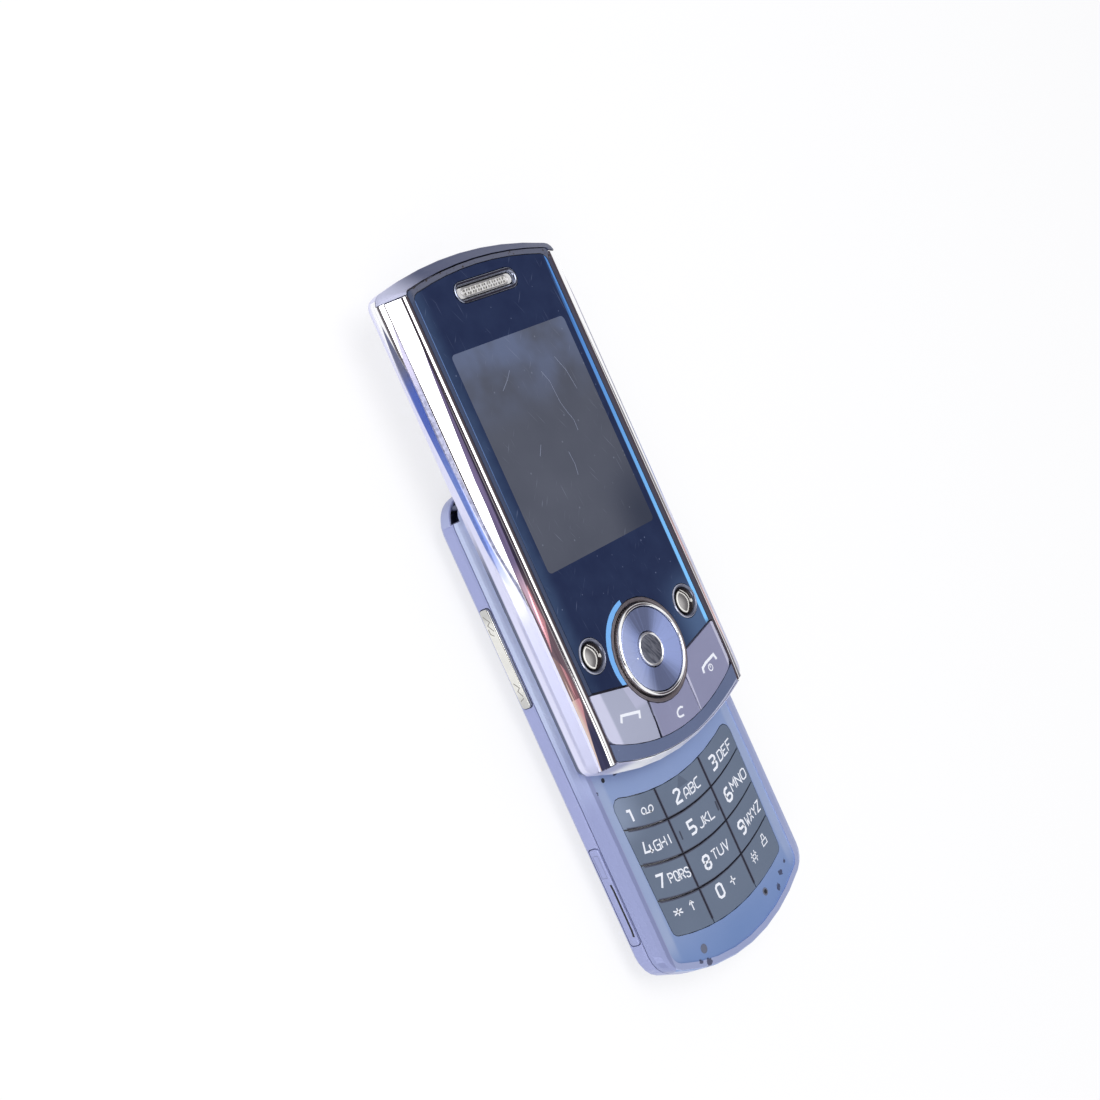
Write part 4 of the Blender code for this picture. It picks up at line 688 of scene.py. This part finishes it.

# Side and back housing of the upper half
# The same moulding in a paler lavender. Along its shoulder the trim's painted reflections carry on, with a
# painted blue reflection and chips near the top, and at the top corner it is plated like the trim beside it.
FACE_HEIGHT = 14.0
TRIM_SLOPE = 2.8
LIP_START, LIP_RUN = -15.25, 13.5
STREAKS_START, STREAKS_RUN = -25.0, 90.0
# The trim's colour: room reflections painted as bands along it (white, a dark band, rose patches and a blue
# reflection), then an ashen band and the wall's paint where the plating ends, and where it is plated.
trim_reflections, given, result = group("trim_reflections", {}, {"Colour": "Color", "Plated": "Float"})
x, y, z = places(trim_reflections)
fall = maths("MAXIMUM", (LIP_START - y) / LIP_RUN, 0.0)
down = (FACE_HEIGHT - (z + fall * fall * 0.82)) / TRIM_SLOPE
along = (y - STREAKS_START) / STREAKS_RUN


def border(stops):
    """A line along the trim: how far down its slope it lies, at places given along the phone."""
    made = node(trim_reflections, "ValToRGB", {0: along})
    strip = made.color_ramp.elements
    stops = sorted(((place - STREAKS_START) / STREAKS_RUN, depth / 2) for place, depth in stops)
    while len(strip) < len(stops):
        strip.new(0.5)
    for element, (position, depth) in zip(strip, stops):
        element.position = position
    for element, (position, depth) in zip(strip, stops):
        element.color = (depth, depth, depth, 1.0)
    return Value(made.outputs[0]) * 2.0


def streak(low, high, soft=0.012):
    """The band between two lines along the trim."""
    start, end = border(low), border(high)
    return ramp(down, start - soft, start + soft) * (1.0 - ramp(down, end - soft, end + soft))


grain = noise(trim_reflections, 1500.0, 4.0)
drawn = noise(trim_reflections, 1.0, 2.0, field(trim_reflections, "Mapping", {"Vector": spot(trim_reflections),
                                                                      "Scale": (2600.0, 60.0, 2600.0)}))
# The dark band in the channel under the bead is a painted reflection, browner in its middle
dark_band_reflection = streak([(64, 0.13), (59, 0.17), (50, 0.18), (41, 0.21), (-24, 0.215)],
              [(64, 0.13), (59, 0.2), (55, 0.23), (50.7, 0.27), (46.5, 0.30), (41.8, 0.33), (29.7, 0.42), (24.7, 0.42),
               (20, 0.45), (15, 0.47), (11, 0.49), (-24, 0.5)])
dark_reflection_tone = blend(drawn, (58, 44, 54), (132, 112, 122))
for low, high, first, second in ((8.0, 15.0, (26, 22, 34), (74, 66, 90)),
                                 (-12.5, -17.5, (30, 30, 50), (78, 78, 110))):
    dark_reflection_tone = blend(ramp(y, low, high), dark_reflection_tone, blend(drawn, first, second))
tone = blend(dark_band_reflection, (252, 252, 253), dark_reflection_tone)
# Two rose patches on the flank are painted reflections, the lower one striped
rose_reflection = blend(drawn, (168, 104, 116), (214, 160, 166))
first = streak([(10, 0.29), (6.6, 0.28), (3.2, 0.26), (0.7, 0.32), (-2, 0.42)],
               [(10, 0.30), (6.5, 0.37), (3.5, 0.39), (0.6, 0.41), (-2, 0.43)])
tone = blend(first * (abs(y - 4.0) < 6.0), tone, rose_reflection)
second = streak([(-2.5, 0.48), (-4.5, 0.34), (-6.5, 0.27), (-9.7, 0.26), (-12.4, 0.27), (-16, 0.37), (-19.8, 0.44),
                 (-23, 0.47)], [(-2.5, 0.5), (-7, 0.52), (-23, 0.5)])
stripe = ramp(drawn, 0.52, 0.56) * (y > -11.0)
sand_reflection = blend(ramp(down, 0.30, 0.48), rose_reflection, (222, 200, 190))
tone = blend(second * (y < -2.5), tone, blend(stripe * 0.7, sand_reflection, (84, 56, 66)))
# Where the plating ends: an ashen band, then the wall's paint with a painted deep blue reflection along it
beyond = streak([(64, 2.0), (12.5, 2.0), (11.5, 0.72), (8, 0.56), (5, 0.49), (-24, 0.5)], [(64, 2.0), (-24, 2.0)])
grey = streak([(59, 0.76), (55.8, 0.73), (53.6, 0.72), (49.8, 0.74), (43, 0.76), (30, 0.77), (24.5, 0.72), (18, 0.66),
               (13.7, 0.6), (11, 0.5), (8, 0.5), (-24, 0.5)],
              [(59, 0.76), (55.9, 0.83), (53.9, 0.87), (50.3, 0.94), (47, 1.0), (12, 1.1), (-24, 1.1)])
ash = blend(ramp(grain, 0.36, 0.64), (118, 120, 146), (152, 154, 180))
tone = blend(grey, tone, blend(ramp(y, 44.0, 52.0), ash, (164, 160, 184)))
wall = streak([(46, 1.02), (40, 0.98), (28, 0.86), (18, 0.78), (10, 0.6), (5, 0.5), (-24, 0.5)],
              [(64, 2.3), (-24, 2.3)]) * ramp(y, 50.0, 44.0)
pale = blend(grain, (210, 211, 237), (222, 223, 245))
tone = blend(wall, tone, pale)
blue_reflection = streak([(59.6, 1.24), (57.3, 1.14), (54.9, 1.03), (50.2, 0.91), (44.6, 0.93), (38, 0.95), (30, 0.88),
                    (20, 0.82), (12, 0.72), (7, 0.6)],
                   [(59.6, 1.24), (57.5, 1.35), (55.3, 1.43), (50.9, 1.55), (45, 1.5), (38, 1.38), (30, 1.22),
                    (20, 1.06), (12, 0.86), (7, 0.62)], 0.03) * (y > 7.0)
deep_blue_reflection = blend(ramp(y, 30.0, 42.0), blend(grain, (82, 106, 182), (118, 140, 206)), (64, 90, 176))
deep_blue_reflection = blend(ramp(y, 46.0, 52.0), deep_blue_reflection, (94, 98, 128))
faded_blue_reflection = blue_reflection * ramp(y, 7.0, 20.0)
tone = blend(faded_blue_reflection, tone, deep_blue_reflection)
link(blend(beyond, tone, blend(faded_blue_reflection * 0.9, pale, deep_blue_reflection)), result.inputs["Colour"])
link(1.0 - either(wall, blue_reflection, beyond, grey), result.inputs["Plated"])


def reflected_tones(tree):
    """The trim's painted reflections, and where it is plated."""
    made = node(tree, "Group", node_tree=trim_reflections)
    return Value(made.outputs["Colour"]), Value(made.outputs["Plated"])


pale_paint = satin_paint("pale_paint", (214, 215, 239), (224, 224, 246), gloss=0.34, share=0.35, wear=0.1)
x, y, z = places(pale_paint.node_tree)
trim_reflection_tone, plated = reflected_tones(pale_paint.node_tree)
shoulder = ramp(y, 3.0, 8.0) * ramp(z, 9.3, 10.2) * (y < 63.5)
front_lip = ramp(y, -24.8, -26.2) * ramp(z, 9.8, 10.6)
# Painted light on the housing: the up-facing chamfer darker as painted shade, the shoulder in the trim's painted
# reflections, the front lip near white and lighter on its left as a painted highlight, and a painted shadow along the
# seam above the lower half.
for mask, tone in ((ramp(z, 10.9, 11.3) * ramp(y, 16.0, 8.0), (188, 190, 218)), (shoulder, trim_reflection_tone),
                   (front_lip, blend(ramp(x, -15.0, 15.0), (254, 254, 255), (208, 211, 236))),
                   (ramp(z, 10.0, 9.6) * ramp(y, 26.0, 12.0) * ramp(abs(x), 23.0, 23.6), (74, 84, 114))):
    repaint(pale_paint, mask, tone)
plated = shoulder * plated * ramp(y, 43.0, 50.0)
shader = pale_paint.node_tree.nodes["Principled BSDF"]
old_gloss = Value(shader.inputs["Roughness"].links[0].from_socket)
feed(shader, roughness=linear(plated, -0.24, old_gloss),
     metallic=linear(front_lip, -0.28, linear(plated, 0.65, 0.3)))
dress("slide_rear_housing", pale_paint)

# Side trims of the upper half
# Two plated plastic strips pressed into the shoulder, with a fine bead beside the face, a narrow groove
# and a broad rounded flank that narrows toward the lip.
plating, tree, shader = finish("plating", 1.0)
# Its colour is the trim's painted reflections.
trim_reflection_tone, plated = reflected_tones(tree)
feed(shader, trim_reflection_tone, linear(plated, -0.28, 0.34), plated)
SLOPE = ((0.0, 19.2), (0.07, 19.7), (0.30, 20.82), (0.71, 22.89), (0.89, 23.9), (1.0, 24.25))
BEAD = ((0.0, -0.10), (0.03, 0.0), (0.065, 0.09), (0.105, 0.14), (0.15, 0.12), (0.19, 0.03), (0.215, -0.08))
FLANK = ((0.0, -0.05), (0.1, 0.01), (0.3, 0.07), (0.55, 0.10), (0.8, 0.09), (0.95, 0.06), (1.03, 0.03),
         (1.06, -0.03))
FLANK_START = 0.24


def slope_x(depth):
    for (d0, x0), (d1, x1) in zip(SLOPE, SLOPE[1:]):
        if depth <= d1:
            return x0 + (x1 - x0) * (depth - d0) / (d1 - d0)
    return SLOPE[-1][1]


def face_fall(y):
    """How far the face drops toward the lip."""
    return 0.9 * max(0.0, (LIP_START - y) / LIP_RUN) ** 2


def trim_cut(y, side, lower=0.0):
    """The trim's outline at one place along the phone."""
    width = 0.59 + 0.15 * min(1.0, max(0.0, (y - 9.65) / 7.5))
    profile = list(BEAD) + [(FLANK_START + share * (width - FLANK_START), height) for share, height in FLANK]
    cut = []
    for depth, height in profile:
        height -= lower
        z = FACE_HEIGHT - TRIM_SLOPE * depth + 0.875 * height
        cut.append((side * (slope_x(depth) + 0.485 * height), y, z - face_fall(y) * (z - 9.6) / 4.4))
    cut.append((side * (slope_x(width) - 0.62), y, FACE_HEIGHT - TRIM_SLOPE * width - 1.1 - face_fall(y)))
    cut.append((side * 19.24, y, 12.6 - face_fall(y)))
    return cut


TRIM_LOW, TRIM_HIGH, TRIM_EASE = -23.88, 62.43, 0.12
for name, side in (("left", -1), ("right", 1)):
    stops = [TRIM_LOW + TRIM_EASE] + [-22.5 + 2.1 * i for i in range(41)] + [TRIM_HIGH - TRIM_EASE]
    sections = [trim_cut(y, side) for y in stops]
    sections = [trim_cut(TRIM_LOW, side, TRIM_EASE)] + sections + [trim_cut(TRIM_HIGH, side, TRIM_EASE)]
    piece("plated_trim_" + name, loft(sections), plating, "slide", ["side_trim_" + name])

# Top cap
# A painted plastic cap closing the upper end, rubbed and pitted where it is carried in a pocket.
cap_paint = satin_paint("cap_paint", (58, 65, 96), (74, 81, 112), gloss=0.5, metallic=0.1, wear=0.3,
                        wear_tone=(40, 44, 62), specks=0.7, coat=0.0, specular=0.3)
x, y, z = places(cap_paint.node_tree)
repaint(cap_paint, ramp(x, -12.0, -22.0) * 0.75, (206, 208, 232))
dress("top_cap", cap_paint)

# Face frame and chin
# Sprayed plastic round the window, rubbed brown in spots along its top, and a slate strip above the lip
# with a pale lower edge.
frame_paint = satin_paint("frame_paint", (74, 76, 94), (90, 88, 102), gloss=0.3, wear=0.2, wear_tone=(130, 140, 170))
tree = frame_paint.node_tree
x, y, z = places(tree)
top_edge = ramp(y - linear(x * x, -0.0052, 62.9), -0.2, 0.2)
repaint(frame_paint, top_edge * 0.85, (112, 117, 136))
repaint(frame_paint, top_edge * ramp(noise(tree, 1300.0, 3.0), 0.6, 0.66), (74, 66, 62))
repaint(frame_paint, ramp(x, -17.5, -18.6) * 0.7, (74, 90, 122))
dress("slide_front_housing", frame_paint)
chin_paint = satin_paint("chin_paint", (104, 118, 152), (116, 128, 162), gloss=0.34, wear=0.3,
                         wear_tone=(158, 168, 196), specks=0.5)
x, y, z = places(chin_paint.node_tree)
above = linear(x * x, -0.01, y) + 27.4
repaint(chin_paint, above < linear(ramp(x, 2.0, 14.0), 0.3, 0.08), (196, 202, 226))
dress("chin_trim", chin_paint)

# Window
# A thick clear panel, printed dark on its back and much scratched. Its right edge and the arc beside the
# navigation pad carry a painted light-blue glint, and a fainter painted highlight runs along its left edge.
window_print_and_glints, tree, shader = finish("window_print_and_glints")
x, y, z = places(tree)
mottle = noise(tree, 260.0, 4.0)
worn = scuffs(tree, 0.30, 0.4)
low_end = ramp(y, 2.0, -9.0)
edge_end = ramp(y, -12.0, -10.5)
# The right edge's light-blue line is a painted glint.
right_edge_glint = either(ramp(x, 17.05, 17.3) * edge_end * ramp(y, 63.5, 40.0), ramp(x, 17.5, 17.7) * edge_end)
tone = blend(mottle, (28, 38, 68), (42, 54, 84))
for mask, other in (
        (ramp(x, -14.6, -17.8), blend(mottle, (38, 52, 82), (60, 78, 108))),
        (ramp(x, 6.0, 16.0) * low_end, (76, 98, 132)), (ramp(x, -6.0, -15.0) * low_end * 0.4, (26, 36, 64)),
        (worn, (140, 154, 188)), (right_edge_glint, blend(ramp(y, -8.0, 50.0), (128, 196, 250), (84, 138, 206))),
        # The arc beside the navigation pad is a painted light-blue glint; below it, a painted highlight along the left
        # edge.
        ((away(x, y, (-0.75, -9.85)) < 10.05) * (x < -2.0), (118, 176, 236)),
        (ramp(x, -17.9, -18.0) * ramp(y, 5.0, 40.0) * 0.7, (116, 146, 200))):
    tone = blend(mask, tone, other)
feed(shader, tone, linear(worn, 0.3, 0.07))
dress("window_lens", window_print_and_glints)

# Display, seen through the window's clear area
# A grey liquid-crystal panel, off, with hair scratches in the window over it and a bluish smear near its top.
display_off, tree, shader = finish("display_off")
x, y, z = places(tree)
smear = noise(tree, 75.0, 3.0)
worn = scuffs(tree, 0.30, 0.25, 0.8)
tone = blend(smear, (72, 76, 88), (90, 94, 106))
for mask, other in ((ramp(y, 34.0, 46.0) * ramp(smear, 0.35, 0.65), (96, 106, 132)),
                    (ramp(x, 2.0, 14.0) * ramp(y, 26.0, 12.0) * 0.85, (50, 56, 72)), (worn, (152, 160, 180))):
    tone = blend(mask, tone, other)
feed(shader, tone, linear(worn, 0.3, 0.09))
edge = rounded_box(31.2, 40.6, 0.9, 0.0, 30.13)
piece("display_area", loft([[(u, v, w) for u, v in edge] for w in (13.9, 13.962)]), display_off, "slide")
dress("lcd_panel", display_off)
SCRATCHES = (((3.9, 42.4), (4.9, 40.2), (5.0, 38.2), (5.2, 36.0), (5.9, 33.9), (6.6, 32.3), (6.5, 30.3)),
             ((-3.6, 44.6), (-5.1, 43.2), (-7.3, 41.7)), ((1.8, 27.5), (2.0, 25.0), (1.6, 23.1)),
             ((-4.1, 30.6), (-5.5, 28.8)), ((8.8, 44.0), (10.2, 41.0), (10.9, 37.2)))
piece("hair_scratches", merged([ribbon(path, 0.045, 13.95, 13.966) for path in SCRATCHES]),
      plastic("scratch", (122, 130, 152), 0.5), "slide")

# Earpiece
# A plated oval rim let into the window, with a pale metal plate sunk inside it and two rows of fine slots.
EAR_LEVEL = 59.95


def oval_ring(width, height, profile, steps=12):
    """A ring with two round ends, from (outward, height) points."""
    radius = height / 2
    reach = width / 2 - radius
    sections = []
    for start, centre in ((-pi / 2, reach), (pi / 2, -reach)):
        for i in range(steps + 1):
            a = start + pi * i / steps
            px, py = centre + radius * cos(a), EAR_LEVEL + radius * sin(a)
            sections.append([(px + out * cos(a), py + out * sin(a), z) for out, z in profile])
    return loft(sections, True)


piece("earpiece_rim", oval_ring(16.62, 3.8, [(-0.72, 12.95), (0.0, 12.95), (0.0, 13.96), (-0.1, 14.06),
                                             (-0.26, 14.1), (-0.42, 14.05), (-0.56, 13.92), (-0.7, 13.7)]),
      metal("ear_rim", (132, 138, 156), 0.14, (164, 170, 190)), "slide", ["earpiece_bezel"])
dress("earpiece_mesh", metal("ear_plate", (226, 225, 222), 0.3, metallic=0.25))
piece("earpiece_inner_rim",
      oval_ring(12.6, 1.75, [(-0.22, 13.3), (0.0, 13.3), (0.03, 13.5), (-0.08, 13.58), (-0.2, 13.5)]),
      metal("ear_inner", (172, 170, 172), 0.25, metallic=0.5), "slide")
slots = []
for row, level in ((0, 60.24), (1, 59.66)):
    for i in range(16):
        x0 = -5.3 + 0.7 * i + 0.12 * row
        slots.append(ribbon([(x0 - 0.06, level - 0.2), (x0 + 0.06, level + 0.2)], 0.1, 13.38, 13.43))
piece("earpiece_slots", merged(slots), plastic("slot_shadow", (84, 82, 82), 0.7), "slide")

# Navigation pad and OK key
# A spun metal disc in a plated rim rocks in a dark collar; the OK key in its middle is a brushed metal button.
# The disc is painted pale toward its two sides and dark above and below, a painted reflection of its turning marks.
NAV = (0.0, -10.18)
collar = turned([(8.78, 12.7), (9.54, 12.7), (9.54, 13.98), (9.46, 14.1), (9.3, 14.15), (9.1, 14.1), (8.9, 13.9),
                 (8.78, 13.7)], NAV, 96)
piece("nav_collar", collar, metal("collar_metal", (112, 106, 112), 0.26, (134, 126, 130), metallic=0.5), "slide",
      ["nav_bezel"])
rim = turned([(7.78, 13.0), (8.46, 13.0), (8.46, 14.35), (8.40, 14.58), (8.25, 14.74), (8.08, 14.8), (7.92, 14.74),
              (7.82, 14.6), (7.78, 14.4)], NAV, 96)
piece("nav_rim", rim, metal("bright_rim", (244, 243, 242), 0.06), "nav_pad", ["nav_ring"])
spun, tree, shader = finish("spun_metal", 0.35)
x, y, z = places(tree)
around = maths("ARCTAN2", y - NAV[1], x - NAV[0])
fan = field(tree, "TexNoise", {"W": around, "Scale": 9.0, "Detail": 3.0}, noise_dimensions="1D")
rings = field(tree, "TexNoise", {"W": away(x, y, NAV), "Scale": 26.0, "Detail": 2.0}, noise_dimensions="1D")
# Painted reflection: pale toward the two sides, dark above and below.
painted_sheen = ramp(abs(maths("COSINE", around + 0.1)), 0.22, 0.92)
painted_sheen = linear(fan - 0.5, 0.5, painted_sheen, clamp=True)
tone = blend(painted_sheen, (100, 109, 142), (168, 184, 238))
tone = blend(rings * 0.25, tone, (120, 130, 168))
# A painted highlight on the disc's left part.
tone = blend(ramp(x, -2.0, -6.0) * 0.45, tone, (208, 218, 252))
feed(shader, tone, linear(rings, 0.14, 0.3), normal=bumped(rings, 0.25))
disc = turned([(3.35, 13.4), (7.58, 13.4), (7.6, 14.48), (7.5, 14.58), (7.2, 14.57), (6.2, 14.5), (5.0, 14.42),
               (3.8, 14.34), (3.45, 14.3), (3.35, 14.2)], NAV, 96)
piece("nav_plate", disc, spun, "nav_pad", ["nav_disc"])
piece("nav_mark", turned([(0.17, 14.3), (0.17, 14.42), (0.12, 14.45), (0.03, 14.46)], (-4.37, -10.4), 16, False),
      legend_ink, "nav_pad")
button, tree, shader = finish("brushed_button", 0.8)
x, y, z = places(tree)
brushed = noise(tree, 1.0, 3.0, field(tree, "Mapping", {
    "Vector": spot(tree), "Rotation": (0, 0, 0.5), "Scale": (0.0005, 0.0024, 0.0005)}, vector_type="TEXTURE"))
rim = ramp(away(x, y, NAV), 2.66, 2.78)
crown = blend(ramp(brushed, 0.36, 0.64), (112, 117, 132), (164, 168, 182))
feed(shader, blend(rim, crown, (244, 244, 246)), linear(rim, -0.3, 0.38))
dome = turned([(1.2, 11.3), (1.2, 12.9), (3.12, 13.0), (3.13, 14.3), (3.06, 14.44), (2.93, 14.5), (2.8, 14.46),
               (2.7, 14.36), (2.0, 14.42), (1.0, 14.46), (0.08, 14.47)], NAV, 64, False)
piece("ok_button", dome, button, "ok_key", ["ok_key"])

# Soft keys
# Two small plated keys, each pressed with a curved ridge, in grey metal rings let into the window.
SOFT_X, SOFT_Y = 14.15, -5.95
RIDGE_AT, RIDGE_BOW = 0.35, 0.26
soft_chrome, tree, shader = finish("soft_chrome", 0.3)
x, y, z = places(tree)
u, v = x - maths("SIGN", x) * SOFT_X, y - SOFT_Y
off = u - linear(v * v, -RIDGE_BOW, RIDGE_AT)
dark_reflection_side = off < 0.0
# The key's colour is a painted reflection: a dark side, grey bands, white lines and a glint; its outer edge is painted
# dark as painted shade.
tone = blend(dark_reflection_side, (46, 42, 44), blend(ramp(off, -1.9, -0.3), (176, 174, 172), (112, 110, 110)))
painted_glints = either(abs(off) < 0.17, (abs(off - 0.75) < 0.13) * (v > -0.6), away(u, v, (1.55, -0.5)) < 0.36,
                dark_reflection_side * (away(u, v) > 1.95))
tone = blend(painted_glints, tone, (248, 247, 240))
feed(shader, blend(ramp(away(u, v), 2.12, 2.3), tone, (30, 30, 34)), linear(dark_reflection_side, 0.12, 0.14))
ring_metal, tree, shader = finish("ring_metal", 0.5)
x, y, z = places(tree)
far = away(x - maths("SIGN", x) * SOFT_X, y, (0.0, SOFT_Y))
grain = noise(tree, 1500.0)
tone = blend(ramp(far, 2.98, 3.1), blend(grain, (100, 104, 122), (122, 126, 144)), (190, 194, 212))
feed(shader, tone, linear(grain, 0.1, 0.16))
for name, side in (("left", -1), ("right", 1)):
    centre = (side * SOFT_X, SOFT_Y)
    sections = []
    for r in (2.38, 2.36, 2.25, 1.9, 1.5, 1.1, 0.7, 0.3, 0.06):
        ring = []
        for k in range(40):
            a = 2 * pi * k / 40
            u, v = r * cos(a), r * sin(a)
            ridge = 2.718 ** (-((u - RIDGE_AT + RIDGE_BOW * v * v) / 0.28) ** 2)
            height = 14.34 - 0.075 * r * r + 0.07 * ridge if sections else 13.3
            ring.append((centre[0] + u, centre[1] + v, height))
        sections.append(ring)
    piece("soft_button_" + name, loft(sections), soft_chrome, "softkey_" + name, ["softkey_" + name])
    ring = turned([(2.56, 12.95), (3.18, 12.95), (3.2, 13.95), (3.12, 14.06), (2.98, 14.1), (2.86, 14.04),
                   (2.7, 13.8), (2.56, 13.5)], centre, 56)
    piece("soft_ring_" + name, ring, ring_metal, "slide", ["softkey_ring_" + name])

# Send, clear and end keys
# One row of painted keys under the navigation pad, with painted highlights on facets at their edges and printed signs.
call_paint = satin_paint("call_paint", (150, 152, 184), (162, 164, 196), gloss=0.34, wear=0.1)
x, y, z = places(call_paint.node_tree)
send_facet_highlight = ramp(linear(y, 0.24, x), -13.9, -13.7) * (x < -6.0) * ramp(y, -18.4, -17.2)
# The send key is painted lighter than the others. Its left strip and upper facet, a line between the clear and end
# keys and the end key's right edge are painted highlights.
for mask, tone in ((ramp(x, -5.0, -7.0), (186, 191, 214)), (ramp(linear(y, 0.05, x), -16.6, -17.3), (226, 228, 252)),
                   (send_facet_highlight * 0.8, (206, 208, 234)), ((abs(x - 6.35) < 0.28) * 0.8, (222, 223, 246)),
                   ((x > 18.2) * 0.7, (226, 226, 246)), ((abs(x + 6.07) < 0.2) * (y < -17.0), (44, 46, 66))):
    repaint(call_paint, mask, tone)
for name in ("send_key", "clear_key", "end_key"):
    dress(name, call_paint)


def on_key(path, half):
    """A printed line on the falling face."""
    return ribbon(path, half, 13.9, 13.975, lambda u, v, w: (u, v, w - face_fall(v)))


send = on_key([(-14.39, -18.51), (-13.73, -17.40), (-9.13, -18.49), (-9.58, -19.58)], 0.26)
clear = on_key([(2.0, -22.2), (1.38, -21.94), (0.6, -22.05), (0.07, -22.45), (-0.05, -23.1), (0.34, -23.42),
                (0.85, -23.5), (1.53, -23.51)], 0.18)
end = on_key([(10.9, -19.21), (11.06, -18.26), (12.38, -17.76), (15.35, -17.19), (15.69, -18.25)], 0.26)
power = [on_key(round_path(13.22, -18.95, 0.6, 0.6), 0.1), on_key([(13.22, -18.55), (13.22, -19.05)], 0.09)]
for key, parts in (("send", [send]), ("clear", [clear]), ("end", [end] + power)):
    piece(key + "_sign", merged(parts), legend_ink, key + "_key")

# Camera on the back
# A small camera behind a clear disc, in a bright metal ring let into the back of the upper half.
dress("camera_bezel", metal("camera_ring_metal", (206, 206, 214), 0.18))
glass, tree, shader = finish("camera_glass", specular=0.6)
x, y, z = places(tree)
pupil = ramp(away(x, y, (0.0, 56.15)), 0.9, 1.3)
feed(shader, blend(pupil, (16, 18, 30), (40, 42, 50)), linear(noise(tree, 700.0), 0.05, 0.04))
dress("camera_module", glass)

# Inside the upper half
# The receiver behind the earpiece, the board under the keys, and the navigation pad's rocking frame.
dress("receiver", plastic("receiver_case", (40, 40, 44), 0.5))
dress("function_board", board_mask)
dress("nav_gimbal", plastic("gimbal_plastic", (52, 52, 56), 0.5))
